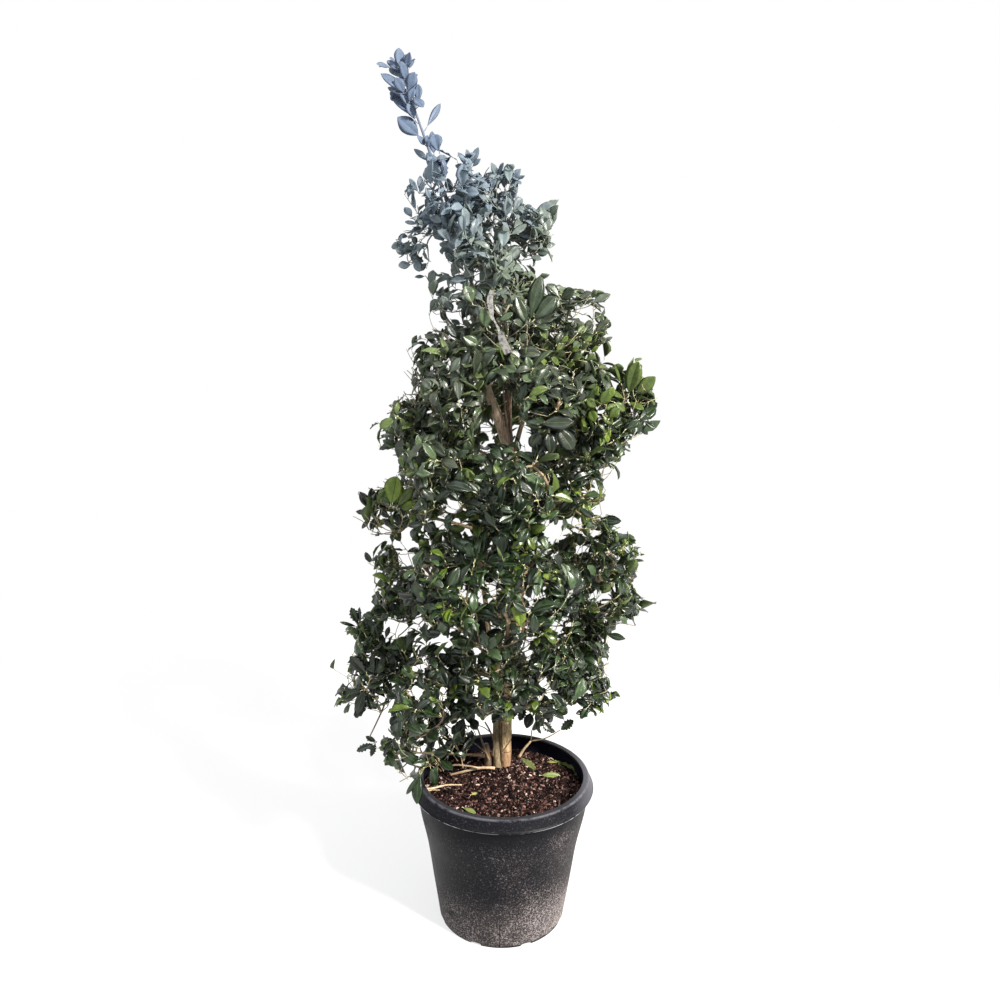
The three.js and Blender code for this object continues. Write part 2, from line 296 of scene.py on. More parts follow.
def ringCaps(ringCount, sides):
    # Triangles that close the first and the last ring. Their two centres come after the rings.
    here, after = np.arange(sides), (np.arange(sides) + 1) % sides
    last, centre = (ringCount - 1) * sides, np.full(sides, ringCount * sides)
    return np.vstack([np.stack([after, here, centre], -1),
                      np.stack([here + last, after + last, centre + 1], -1)])


def tube(path, radii, sides, relief=None):
    # A closed tapering tube. A relief changes the reach of its points.
    path = np.asarray(path, float)
    side, across = tubeFrames(path)
    angles = fullTurn(sides)
    reach = np.asarray(radii, float)[:, None] * np.ones(sides)[None, :]
    if relief is not None:
        reach = relief(reach, path, side, across, angles)
    rings = ringPoints(path, reach, side, across, angles)
    points = np.vstack([rings.reshape(-1, 3), path[:1], path[-1:]])
    return points, ringQuads(len(path), sides), ringCaps(len(path), sides)


class Pile:
    # Gathers many small meshes, and turns them into one piece
    def __init__(self):
        self.points, self.count = [], 0
        self.faces, self.slots = ([], []), ([], [])

    def add(self, points, quads, threes, slot=0):
        # slot: one material number, or one for each quad and one for each triangle
        self.points.append(points)
        for i, own in enumerate((quads, threes)):
            if len(own):
                self.faces[i].append(own + self.count)
                self.slots[i].append(slot[i] if isinstance(slot, tuple) else np.full(len(own), slot))
        self.count += len(points)

    def piece(self, name, materials, smooth=True):
        faces = [np.vstack(own) for own in self.faces if own]
        slots = [np.concatenate(own) for own in self.slots if own]
        return makeMesh(name, np.vstack(self.points), faces, materials, slots, smooth)


# Stage: floor, lights and camera

stage = {
    "floorSize": 30.0,
    "floor": srgb(250, 250, 250),
    "glowShare": 0.62,  # how much of the floor's white shows no shadow
    "sweep": (1.0, 3.0),  # how far out the floor turns into the white wall
    "skyBack": (1.0, 1.0, 1.0),
    "skyFront": (0.34, 0.355, 0.38),
    "skyTurn": (-0.6, 0.4),
    "skyTilt": 1.3,
    "lamps": {
        "key": {"place": (4.4, -4.0, 5.2), "aim": (0, 0, 0.9), "size": 1.1, "power": 1400,
                "tint": (1.0, 0.955, 0.88)},
        "fill": {"place": (-1.1, -2.3, 3.0), "aim": (0, 0, 1.6), "size": 1.6, "power": 26,
                 "tint": (0.88, 0.95, 1.0)},
    },
}


def addLamp(name, spec):
    data = bpy.data.lights.new(name, "AREA")
    data.shape = "DISK"
    data.size = spec["size"]
    data.energy = spec["power"]
    data.color = spec["tint"]
    lamp = bpy.data.objects.new(name, data)
    place = Vector(spec["place"])
    turn = (Vector(spec["aim"]) - place).to_track_quat("-Z", "Y").to_matrix().to_4x4()
    lamp.matrix_world = Matrix.Translation(place) @ turn
    bpy.context.scene.collection.objects.link(lamp)


def addStage(spec):
    half = spec["floorSize"] / 2
    corners = [(-half, -half, 0), (half, -half, 0), (half, half, 0), (-half, half, 0)]
    paint = Paint("floor")
    x, y = paint.axis("X"), paint.axis("Y")
    lit = paint.node("ShaderNodeBsdfPrincipled", {}, {"Base Color": (*spec["floor"], 1), "Roughness": 0.8})
    glow = paint.node("ShaderNodeEmission", {}, {"Color": (*spec["skyBack"], 1)})
    share = ((x * x + y * y) ** 0.5).between(*spec["sweep"]) * (1 - spec["glowShare"]) + spec["glowShare"]
    both = paint.node("ShaderNodeMixShader", {}, {0: share, 1: lit, 2: glow})
    paint.node("ShaderNodeOutputMaterial", {}, {0: both})
    floor = makeMesh("floor", corners, [np.array([[0, 1, 2, 3]])], [paint.owner])
    # white above and behind, and a softer room low in front
    sky = Paint("sky", "worlds")
    way = sky.node("ShaderNodeTexCoord")
    back, up = (sky.node("ShaderNodeSeparateXYZ", {}, {0: way}, out=i) for i in (1, 2))
    turn = (back + up * spec["skyTilt"]).between(*spec["skyTurn"])
    colour = sky.mix(turn, spec["skyFront"], spec["skyBack"])
    sky.node("ShaderNodeOutputWorld", {}, {0: sky.node("ShaderNodeBackground", {}, {"Color": colour})})
    bpy.context.scene.world = sky.owner
    for name, lamp in spec["lamps"].items():
        addLamp(name, lamp)
    bpy.context.scene.view_settings.view_transform = "Standard"


addCamera(camera)
addStage(stage)
report("stage")


# Pot: a lathed wall with a gutter lip, a parting line and arched drain holes

pot = {
    "segments": 240,
    "height": 0.396,
    "footRadius": 0.1705,
    "footRound": 0.006,
    "waist": (0.201, 0.214),  # outside of the wall, as radius and height
    "shoulder": (0.220, 0.300),
    "neck": (0.2285, 0.357),
    "lipRadius": 0.241,
    "lipDrop": 0.031,
    "crestRadius": 0.228,
    "crestWidth": 0.0150,
    "wall": 0.003,
    "floor": 0.004,
    "drains": 8,
    "drainWidth": 0.030,
    "drainHeight": 0.0075,
    "drainDepth": 0.011,  # how far each cut reaches to both sides of the foot
    "seam": -0.004,  # where the parting line crosses the front
    "cornerRound": 0.0016,
    "patch": (-0.124, 0.062),  # a clean place in the dust, across and up
    "clean": srgb(12, 13, 18),
    "dust": srgb(80, 70, 69),
    "grit": srgb(166, 158, 157),
    # a pale line on the lip's lower edge: partly wear, partly painted highlight
    "wearAndHighlight": srgb(186, 186, 192),
    "edge": srgb(88, 88, 95),
    "inside": srgb(20, 22, 36),
    "insideFilm": srgb(44, 42, 46),
    "crumbs": srgb(92, 74, 64),
}


def rounded(profile, reach, steps=4):
    # Rounds the corners of a closed (radius, height) outline
    rows = []
    for i, corner in enumerate(profile):
        corner = np.array(corner)
        if corner[0] == 0:
            rows.append(corner)
            continue
        before, after = np.array(profile[i - 1]), np.array(profile[(i + 1) % len(profile)])
        size = min(reach, 0.45 * np.linalg.norm(before - corner), 0.45 * np.linalg.norm(after - corner))
        start = corner + (before - corner) / np.linalg.norm(before - corner) * size
        end = corner + (after - corner) / np.linalg.norm(after - corner) * size
        for t in np.linspace(0, 1, steps):
            rows.append((1 - t) ** 2 * start + 2 * t * (1 - t) * corner + t ** 2 * end)
    return np.array(rows)


def potProfile(p):
    lipFoot = p["height"] - p["lipDrop"]
    foot, top, wall, crest, lip = p["footRadius"], p["height"], p["wall"], p["crestRadius"], p["lipRadius"]
    crestIn = crest - p["crestWidth"]
    bends = [(foot, 0, p["footRound"]), (foot + 0.0145, 0, 0.105)]
    bends += [(r, 0, z) for r, z in (p["waist"], p["shoulder"], p["neck"])]
    outer = [(r, z) for r, _, z in smoothCurve(bends, 0.010)]
    inside = [(r - wall, z) for r, z in outer[::-1] if z > p["floor"] + 0.01]
    return [
        (0, 0), (foot - 0.02, 0), (foot - 0.001, 0.0005),
        *outer,
        (crest + 0.001, top - 4 * wall), (lip - 0.0036, lipFoot + 0.0015), (lip - 0.0022, lipFoot),
        (lip + 0.0002, lipFoot + 0.0004), (lip + 0.0006, lipFoot + 0.0018), (lip - 0.0006, lipFoot + 0.0036),
        (lip - 0.0022, lipFoot + 0.0052), (crest + 0.0018, top - 0.004), (crest + 0.0004, top - 0.0006),
        (crest - 0.0030, top), (crestIn + 0.0012, top - 0.0001), (crestIn, top - 0.0014),
        (crestIn + 0.0035, top - 0.0100), (p["neck"][0] - wall - 0.001, p["neck"][1] + 0.014),
        *inside, (foot - wall, p["floor"]), (0, p["floor"]),
    ]


def potPaint(p):
    paint = Paint("potPlastic")
    across, deep, height = (paint.axis(letter) for letter in "XYZ")
    reach = (across * across + deep * deep) ** 0.5
    smudge = paint.grain(7, 4.0)
    streak = paint.grain(16, 4.0, (1, 1, 0.12))
    cloud = paint.grain(38, 5.0, rough=0.7)
    dots, fine = paint.grain(225, 1.5), paint.grain(430, 1.5)
    # where the dust lies: low down, to both sides, and not under the lip. The extra at both sides is partly
    # painted light: the lamp on the right side and a reflection at the left edge. The bare band under the lip
    # is partly painted shade from the lip.
    low = 1 - height.between(0.02, 0.19)
    right = across.between(0.00, 0.19)
    left = 1 - across.between(-0.20, -0.14)
    under = 1 - height.between(0.300, 0.352)
    uneven = (smudge - 0.5) * 1.3 + (streak - 0.5) * 0.8 + (cloud - 0.5) * 0.5
    # dust, with painted light added at both sides and painted shade left bare under the lip
    dustAndPaintedLight = ((low * 0.62 + right * 0.34 + left * 0.22 + uneven) * under).clamped()
    soft = (low * 0.50 + across.between(0.10, 0.18) * 0.16) * under
    soft = (soft * (0.35 + smudge + (cloud - 0.5) * 0.6)).clamped()
    colour = paint.mix((dustAndPaintedLight * 0.16 + soft * 0.46).clamped(), p["clean"], p["dust"])
    # grit, most of it where the dust lies thickest
    foot = p["height"] - p["lipDrop"]
    face = height.between(foot + 0.002, foot + 0.006)
    loose = dustAndPaintedLight * 0.085 + low * 0.035 + right * 0.02
    grit = (dots + loose).between(0.63, 0.69) * 0.55 + (fine + loose).between(0.60, 0.68) * 0.50
    grit = grit * (dustAndPaintedLight * 0.66 + under * 0.16 + face * 0.10 + 0.03)
    colour = paint.mix(grit.clamped(), colour, p["grit"])
    # the lip's crest and shoulder catch the light as painted highlights, and along its lower edge runs a pale
    # broken line, partly wear and partly painted highlight
    crest = p["crestRadius"]
    corner = reach.between(crest - 0.0045, crest - 0.001) * height.between(0.3905, 0.3945)
    crown = reach.between(0.2280, 0.2270) * height.between(0.3900, 0.3930)
    lit = across.between(0.165, 0.235) * height.between(0.352, 0.368)
    edge = face * 0.03 + crown * 0.20 + lit * 0.55 + corner * cloud.between(0.35, 0.6) * 0.75
    colour = paint.mix(edge.clamped(), colour, p["edge"])
    aside = (across * across) ** 0.5
    # pale broken line on the lip's lower edge: partly wear, partly painted highlight
    wearAndHighlight = height.between(foot - 0.0006, foot + 0.0002) * (1 - height.between(foot + 0.0012, foot + 0.0024))
    wearAndHighlight = wearAndHighlight * paint.grain(34, 3.0).between(0.42, 0.58) * (0.30 + aside.between(0.07, 0.13) * 0.70)
    colour = paint.mix(wearAndHighlight * 0.9, colour, p["wearAndHighlight"])
    # clean places: damp ones, the foot, a rubbed patch and the parting line
    damp = paint.grain(4.2, 3.0).between(0.60, 0.68) * low
    base = (1 - height.between(0.004, 0.011)) * across.between(-0.05, 0.03)
    x, z = across - p["patch"][0], height - p["patch"][1]
    patch = (1 - ((x * x + z * z * 1.8) ** 0.5).between(0.010, 0.026)) * cloud.between(0.38, 0.52)
    off = across - p["seam"]
    seam = (1 - ((off * off) ** 0.5).between(0.0006, 0.0026)) * (1 - height.between(0.065, 0.090))
    seam = seam * (1 - deep.between(-0.1, 0.0))
    clean = damp * 0.4 + base * 0.8 + patch * 0.75 + seam * 0.7
    colour = paint.mix(clean.clamped(), colour, p["clean"])
    rough = 0.36 + dustAndPaintedLight * 0.5 + cloud * 0.08
    normal = paint.bump(dots * 0.35 + smudge * 0.3 + streak * 0.25 + cloud * 0.3, 0.35, 0.002)
    return paint.finish(Base_Color=colour, Roughness=rough, Normal=normal, Specular_IOR_Level=0.07)


def potInsidePaint(p):
    paint = Paint("potInside")
    smudge = paint.grain(18, 4.0, (1, 1, 0.4))
    crumbs = paint.grain(210, 5.0).between(0.62, 0.72)
    colour = paint.mix(smudge.between(0.45, 0.75) * 0.3, p["inside"], p["insideFilm"])
    colour = paint.mix(crumbs * 0.35, colour, p["crumbs"])
    normal = paint.bump(smudge, 0.2, 0.002)
    rough = 0.45 + smudge * 0.3
    return paint.finish(Base_Color=colour, Roughness=rough, Normal=normal, Specular_IOR_Level=0.12)


def makePot(p):
    rows = rounded(potProfile(p), p["cornerRound"])
    ringCount, sides = len(rows), p["segments"]
    rings, angles = np.arange(ringCount), fullTurn(sides)
    radius = np.repeat(rows[:, :1], sides, 1)
    height = np.repeat(rows[:, 1:], sides, 1)
    # the parting line down the front: a soft crease with a raised bead beside it
    lipRing = int(rows[:, 0].argmax())
    front = ((angles + math.pi / 2 + math.pi) % (2 * math.pi) - math.pi) * 0.18 - p["seam"]
    outside = (rings < lipRing - 3)[:, None] & (height > 0.004)
    bead = np.exp(-((front - 0.004) / 0.0024) ** 2) * 0.0011 - np.exp(-(front / 0.0022) ** 2) * 0.0016
    bead = bead[None, :] * np.clip(1.25 - height / 0.085, 0.05, 1)
    wave = 0.0006 * np.sin(2 * angles[None, :] + 0.7) + 0.0003 * np.sin(5 * angles[None, :] + height * 20)
    radius = radius + np.where(outside, bead, 0) + np.where(radius > 0.1, wave, 0)
    points = np.stack([radius * np.cos(angles), radius * np.sin(angles), height], -1).reshape(-1, 3)
    inner = (rings > lipRing) & (rows[:, 1] < p["height"] - 0.0065) & (rows[:, 0] < p["crestRadius"])
    slots = np.repeat(rings[:-1] >= inner.argmax(), sides)
    paints = [potPaint(p), potInsidePaint(p)]
    wall = makeMesh("potWall", points, [ringQuads(ringCount, sides)], paints, [slots])
    mergeNear(wall)
    cutDrains(wall, p)
    settle(wall, "pot", "pot")


def mergeNear(piece, reach=1e-6):
    work = bmesh.new()
    work.from_mesh(piece.data)
    bmesh.ops.remove_doubles(work, verts=work.verts, dist=reach)
    bmesh.ops.recalc_face_normals(work, faces=work.faces)
    work.to_mesh(piece.data)
    work.free()


def cutDrains(wall, p):
    half, tall = p["drainWidth"] / 2, p["drainHeight"]
    near, far = p["footRadius"] - p["drainDepth"], p["footRadius"] + p["drainDepth"]
    arch = [(-half, -0.01), (half, -0.01)]
    for x in np.linspace(-half, half, 13)[::-1]:
        arch.append((x, tall * (0.4 + 0.6 * math.sqrt(max(0, 1 - (x / half) ** 2)))))
    pile = Pile()
    for i in range(p["drains"]):
        turn = -math.pi / 2 + (i + 0.5) / p["drains"] * 2 * math.pi
        out = np.array([math.cos(turn), math.sin(turn), 0])
        along = np.array([-out[1], out[0], 0])
        points = [out * depth + along * x + np.array([0, 0, z]) for depth in (near, far) for x, z in arch]
        points += [out * near, out * far]
        pile.add(np.array(points), ringQuads(2, len(arch)), ringCaps(2, len(arch)))
    cutter = pile.piece("drainCutter", [])
    mergeNear(cutter)
    cut = wall.modifiers.new("drains", "BOOLEAN")
    cut.operation = "DIFFERENCE"
    cut.solver = "EXACT"
    cut.object = cutter
    applied = bpy.data.meshes.new_from_object(wall.evaluated_get(bpy.context.evaluated_depsgraph_get()))
    wall.modifiers.clear()
    wall.data = applied
    bpy.data.objects.remove(cutter)


makePot(pot)
report("pot")


# Compost: an uneven bed covered in bark chips

compost = {
    "seed": 11,
    "level": 0.350,
    "edge": 0.2222,
    "slump": (0.205, 0.2222, 0.014),  # the surface falls away from the wall between these radii, by this much
    "sides": [(0.2155, 0.300), (0.1965, 0.214), (0.166, 0.006)],
    "bedRings": 70,
    "bedSides": 200,
    "mound": {"place": (-0.004, 0.092), "rise": 0.0115, "reach": 0.062},
    "chips": 13500,
    "chipReach": 0.216,
    "chipLength": (0.0026, 0.0112),
    "chipWidth": (0.25, 0.45),  # share of the length, and what chance adds
    "chipThick": (0.0012, 0.0034),
    "chipTilt": 0.55,
    "chipUneven": 0.7,
    "chipLift": 0.0045,
    # each colour of the chips, and its weight
    "tones": [(srgb(23, 13, 12), 30), (srgb(47, 30, 27), 25), (srgb(88, 61, 56), 18),
              (srgb(8, 5, 5), 20), (srgb(138, 110, 101), 8), (srgb(202, 182, 172), 2.0)],
}


def soilHeight(x, y):
    spec = compost
    mx, my = spec["mound"]["place"]
    away = math.hypot(x - mx, y - my) / spec["mound"]["reach"]
    rise = spec["mound"]["rise"] * math.exp(-away ** 4)
    lumps = 0.0035 * noise.noise((x * 14, y * 14, 0.3)) + 0.002 * noise.noise((x * 45, y * 45, 4.1))
    start, end, fall = spec["slump"]
    share = min(1.0, max(0.0, (math.hypot(x, y) - start) / (end - start)))
    return spec["level"] + rise + lumps - fall * share * share


def earthPaint(name, tone):
    paint = Paint(name)
    fleck = paint.grain(420, 4.0)
    fibre = paint.grain(90, 4.0, (1, 3, 1))
    darker = tuple(c * 0.45 for c in tone)
    lighter = tuple(min(1, c * 1.5) for c in tone)
    colour = paint.mix(fleck.between(0.35, 0.65), darker, lighter)
    colour = paint.mix(fibre.between(0.4, 0.7) * 0.5, colour, tone)
    normal = paint.bump(fleck * 0.6 + fibre * 0.4, 0.5, 0.0015)
    return paint.finish(Base_Color=colour, Roughness=0.7, Normal=normal, Specular_IOR_Level=0.12)


def makeBed(spec, paint):
    rings, sides = spec["bedRings"], spec["bedSides"]
    points = []
    for i in range(1, rings + 1):
        reach = spec["edge"] * i / rings
        for k in range(sides):
            turn = 2 * math.pi * k / sides
            x, y = reach * math.cos(turn), reach * math.sin(turn)
            points.append((x, y, soilHeight(x, y)))
    points = np.array(points)
    rims = []
    for radius, height in spec["sides"]:
        rim = points[-sides:].copy()
        rim[:, :2] *= radius / spec["edge"]
        rim[:, 2] = height
        rims.append(rim)
    points = np.vstack([points, *rims, [[0, 0, soilHeight(0, 0)]], [[0, 0, spec["sides"][-1][1]]]])
    rings += len(rims)
    faces = [ringQuads(rings, sides)[:, [0, 3, 2, 1]], ringCaps(rings, sides)[:, [1, 0, 2]]]
    return makeMesh("compostBed", points, faces, [paint])


def makeChips(spec, paints):
    rng = np.random.default_rng(spec["seed"])
    count = spec["chips"]
    reach = np.sqrt(rng.random(count)) * spec["chipReach"]
    turn = rng.random(count) * 2 * math.pi
    weights = np.array([share for _, share in spec["tones"]], float)
    tones = rng.choice(len(weights), count, p=weights / weights.sum())
    corners = np.array([(x, y, z) for z in (-1, 1) for y in (-1, 1) for x in (-1, 1)], float)
    box = np.array([(0, 2, 3, 1), (4, 5, 7, 6), (0, 1, 5, 4), (2, 6, 7, 3), (0, 4, 6, 2), (1, 3, 7, 5)])
    low, high = spec["chipLength"]
    pile = Pile()
    for i in range(count):
        length = low + (high - low) * rng.random() ** 2.2
        wide = length * (spec["chipWidth"][0] + spec["chipWidth"][1] * rng.random())
        thick = spec["chipThick"][0] + spec["chipThick"][1] * rng.random()
        shape = corners * np.array([length, wide, thick]) / 2
        shape *= 1 + (rng.random((8, 3)) - 0.5) * spec["chipUneven"]
        tiltX, tiltY = (Matrix.Rotation(rng.normal(0, spec["chipTilt"]), 3, axis) for axis in "XY")
        turned = np.array(Matrix.Rotation(rng.random() * 6.283, 3, "Z") @ (tiltX @ tiltY))
        x, y = reach[i] * math.cos(turn[i]), reach[i] * math.sin(turn[i])
        lift = soilHeight(x, y) + thick * 0.3 + spec["chipLift"] * rng.random() ** 2
        pile.add(shape @ turned.T + np.array([x, y, lift]), box, [], int(tones[i]))
    return pile.piece("compostChips", paints, smooth=False)


def makeCompost(spec):
    paints = [earthPaint(f"bark{i}", tone) for i, (tone, _) in enumerate(spec["tones"])]
    settle(makeBed(spec, paints[0]), "compost", "soil")
    settle(makeChips(spec, paints), "compost")


makeCompost(compost)
report("compost")


# Limbs: each bark mesh follows the middle line of its frame node

def middleLine(name, count):
    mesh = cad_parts[name].data
    points = np.array([v.co for v in mesh.vertices])
    mesh.calc_loop_triangles()
    threes = np.array([t.vertices for t in mesh.loop_triangles])
    centred = points - points.mean(0)
    axis = np.linalg.svd(centred, full_matrices=False)[2][0]
    axis = axis * (1 if axis[2] >= 0 else -1)
    along = centred @ axis
    levels = np.linspace(along.min(), along.max(), count + 2)[1:-1]
    middles, sizes = [], []
    for level in levels:
        cut = []
        for first, second in ((0, 1), (1, 2), (2, 0)):
            a, b = threes[:, first], threes[:, second]
            crossing = (along[a] - level) * (along[b] - level) < 0
            a, b = a[crossing], b[crossing]
            share = (level - along[a]) / (along[b] - along[a])
            cut.append(points[a] + (points[b] - points[a]) * share[:, None])
        cut = np.unique(np.round(np.vstack(cut), 6), axis=0)
        middle = (cut.min(0) + cut.max(0)) / 2
        spread = np.linalg.svd(cut - cut.mean(0), full_matrices=False)[1]
        middles.append(middle)
        sizes.append(math.sqrt(2 / len(cut)) * spread[1])
    return np.array(middles), np.array(sizes)


# Painted haze: the bright sky's glare, painted into the base colours of bark and leaves as a paler, bluer
# tint that grows with height. The height where each step starts, its colour and its share
hazeSteps = [
    (0.0, srgb(98, 104, 86), 0.0), (1.20, srgb(98, 104, 86), 0.10), (1.32, srgb(98, 104, 86), 0.22),
    (1.45, srgb(102, 109, 98), 0.40), (1.58, srgb(108, 117, 114), 0.60), (1.70, srgb(106, 117, 124), 0.76),
    (1.82, srgb(100, 113, 126), 0.87), (1.97, srgb(84, 97, 118), 0.93),
]
hazeLean = {"from": -0.10, "least": -0.05, "most": 0.24, "drop": 0.75}  # the right side stays clearer


def hazeStep(spot, shift=0.0):
    aside = min(hazeLean["most"], max(hazeLean["least"], spot[0] - hazeLean["from"]))
    return sum(spot[2] - hazeLean["drop"] * aside + shift > level for level, _, _ in hazeSteps[1:])


# mixes the painted haze into a colour
def hazed(tone, step):
    _, haze, share = hazeSteps[step]
    return blended(tone, haze, share)


limbs = {
    "trunkSides": 48,
    "trunkStep": 0.003,
    "trunkCuts": 70,  # how many cuts through the frame's node give the middle line
    "boughSides": 18,
    "boughStep": 0.005,
    "boughCuts": 14,
    "trunkBend": (1.28, 0.045, 0.011),  # to the left: the height, the reach along the trunk, how far
    "trunkSwelling": (1.35, 0.06, 0.20),  # at the fork, as a share of the radius
    "footTaper": (0.26, 0.030),  # share of the radius, and how far up it fades
    # the second stem is moved to the right, moved to the front and swollen at its foot: how much, and how far
    # up it fades
    "stemRight": (0.0092, 0.26),
    "stemFront": (0.004, 0.16),
    "stemSwelling": (0.34, 0.22),
    "rootSwelling": (0.7, 0.014),  # where other limbs leave the trunk
    "joinReach": 0.05,  # limbs that start this near are drawn on into the trunk, by this share of the way
    "joinShare": 0.85,
    "oldFrom": 0.0052,  # radius from which a limb has the old bark
    # base, patches and streaks of each bark: old, young, the trunk's base in pale bark with painted sunlight,
    # a dim shoot, and the fork in bark painted near white as painted sunlight where the leaves shade it
    "tones": {
        "barkTan": (srgb(176, 152, 118), srgb(128, 116, 90), srgb(78, 63, 48)),
        "barkShoot": (srgb(112, 82, 68), srgb(88, 68, 58), srgb(150, 122, 100)),
        "barkPale": (srgb(220, 188, 142), srgb(170, 148, 110), srgb(104, 82, 60)),
        "barkDim": (srgb(84, 66, 52), srgb(62, 50, 40), srgb(112, 92, 72)),
        "barkFork": (srgb(252, 226, 198), srgb(226, 200, 170), srgb(150, 120, 98)),
    },
    "lichen": srgb(124, 126, 98),
    "pores": srgb(206, 190, 160),
    "ruddy": srgb(150, 108, 82),
    "creaseShade": srgb(24, 18, 14),
    "paleBelow": 0.62,
    "fork": (1.25, 1.43),  # heights between which the trunk has the fork's bark, painted near white as painted sunlight
    # a groove across the trunk's foot, and dark lines of painted shade along it and in the cracks by it:
    # frame pixels, and half thickness in metres
    "groove": [(502.8, 751.0), (505.8, 747.0), (508.6, 743.2), (512.6, 739.2)],
    "marks": [((502.5, 751.4), (512.8, 738.9), 0.0011), ((501.0, 752.2), (513.0, 752.8), 0.0007),
              ((501.6, 724.0), (502.2, 748.0), 0.0008)],
    "marksPlane": 0.073,
    "grooveSize": (0.0028, -0.0028),  # how wide, and how far it rises
    # bumps and hollows of the trunk: the place, how wide and how high
    "knots": [((0.004, 0.074, 0.432), 0.006, -0.0016), ((0.016, 0.074, 0.431), 0.005, -0.0014),
              ((0.02, 0.08, 0.47), 0.007, 0.002), ((0.000, 0.076, 0.485), 0.008, 0.0018),
              ((0.010, 0.075, 0.405), 0.008, 0.0016), ((-0.002, 0.077, 0.39), 0.007, 0.0018),
              ((-0.05, 0.06, 1.395), 0.012, 0.0022), ((0.01, 0.075, 1.25), 0.02, 0.004)],
}
barkKinds = list(limbs["tones"])


def barkRelief(strength, seed, knots=()):
    def relief(reach, path, side, across, angles):
        spots = ringPoints(path, reach, side, across, angles)
        out = reach.copy()
        for i, k in np.ndindex(reach.shape):
            x, y, z = Vector(spots[i, k])
            ridge = noise.noise((x * 210, y * 210, z * 26 + seed))
            lump = noise.noise((x * 60, y * 60, z * 22 + seed * 3))
            pit = noise.noise((x * 420, y * 420, z * 300))
            swell = strength * (0.05 * lump + 0.028 * ridge)
            out[i, k] = reach[i, k] * (1 + swell - 0.02 * strength * max(0, pit - 0.2))
        for place, size, rise in knots:
            gap = np.linalg.norm(spots - np.array(place), axis=-1)
            out += rise * np.exp(-(gap / size) ** 2)
        return out
    return relief


def barkPaint(name, tones, step):
    base, under, streak = (hazed(tone, step) for tone in tones)
    paint = Paint(f"{name}{step}")
    long = paint.grain(26, 5.0, (1, 1, 0.16))
    fine = paint.grain(240, 4.0, (1, 1, 0.35))
    patch = paint.grain(7, 3.0)
    pores = paint.grain(330, 2.0, (1, 1, 1.8)).between(0.66, 0.74)
    colour = paint.mix(long.between(0.35, 0.66), base, under)
    colour = paint.mix(fine.between(0.44, 0.64) * 0.72, colour, streak)
    colour = paint.mix(patch.between(0.5, 0.72) * 0.35, colour, hazed(limbs["lichen"], step))
    colour = paint.mix(pores * 0.5, colour, hazed(limbs["pores"], step))
    if name == "barkPale" and step == 0:
        colour = footMarks(paint, colour)
    normal = paint.bump(long * 0.5 + fine * 0.35 + pores * 0.3, 0.7, 0.003)
    return paint.finish(Base_Color=colour, Roughness=0.62 + fine * 0.3, Normal=normal)


def footMarks(paint, colour):
    # painted shade: dark lines along the groove and the cracks on the near side of the trunk's foot, and
    # ruddier bark low down
    x, z = paint.axis("X"), paint.axis("Z")
    wobble = (paint.grain(90, 2.0) - 0.5) * 0.004
    colour = paint.mix((1 - (z + wobble).between(0.412, 0.428)) * 0.55, colour, limbs["ruddy"])
    for first, last, half in limbs["marks"]:
        a, b = (sight.at(*pixel, limbs["marksPlane"]) for pixel in (first, last))
        long = math.hypot(b[0] - a[0], b[2] - a[2])
        ux, uz = (b[0] - a[0]) / long, (b[2] - a[2]) / long
        along = (x - a[0]) * ux + (z - a[2]) * uz
        off = (x - a[0]) * uz - (z - a[2]) * ux + wobble * 0.4
        mark = (1 - ((off * off) ** 0.5).between(half * 0.5, half * 2)) * along.between(-0.002, 0.001)
        mark = mark * (1 - along.between(long - 0.001, long + 0.002))
        # painted shade in the groove and the cracks
        colour = paint.mix(mark * 0.88, colour, limbs["creaseShade"])
    return colour


def limbNames():
    return [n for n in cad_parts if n.startswith(("bough_", "fork_", "stem_", "shoot_"))]


def barkSlot(kind, spot):
    # The material's number in a list that holds every haze step of each kind
    return kind * len(hazeSteps) + hazeStep(spot)


def addLimb(pile, line, radii, sides, relief, kindAt):
    # One limb, its material picked ring by ring
    rings = np.array([barkSlot(barkKinds.index(kindAt(spot)), spot) for spot in line[:-1]])
    slots = (np.repeat(rings, sides), np.repeat(rings[[0, -1]], sides))
    pile.add(*tube(line, radii, sides, relief), slots)


def hump(values, middle, reach, most):
    return most * np.exp(-((values - middle) / reach) ** 2)


def fading(gone, most, reach):
    return most * np.exp(-gone / reach)


def onTrunk(x, y, line, radii):
    # The place on the trunk's near side that shows at x, y
    spot = sight.at(x, y, 0.075)
    for _ in range(3):
        ring = np.abs(line[:, 2] - spot[2]).argmin()
        aside = spot[0] - line[ring][0]
        spot = sight.at(x, y, line[ring][1] - math.sqrt(max(0.0, radii[ring] ** 2 - aside ** 2)))
    return spot


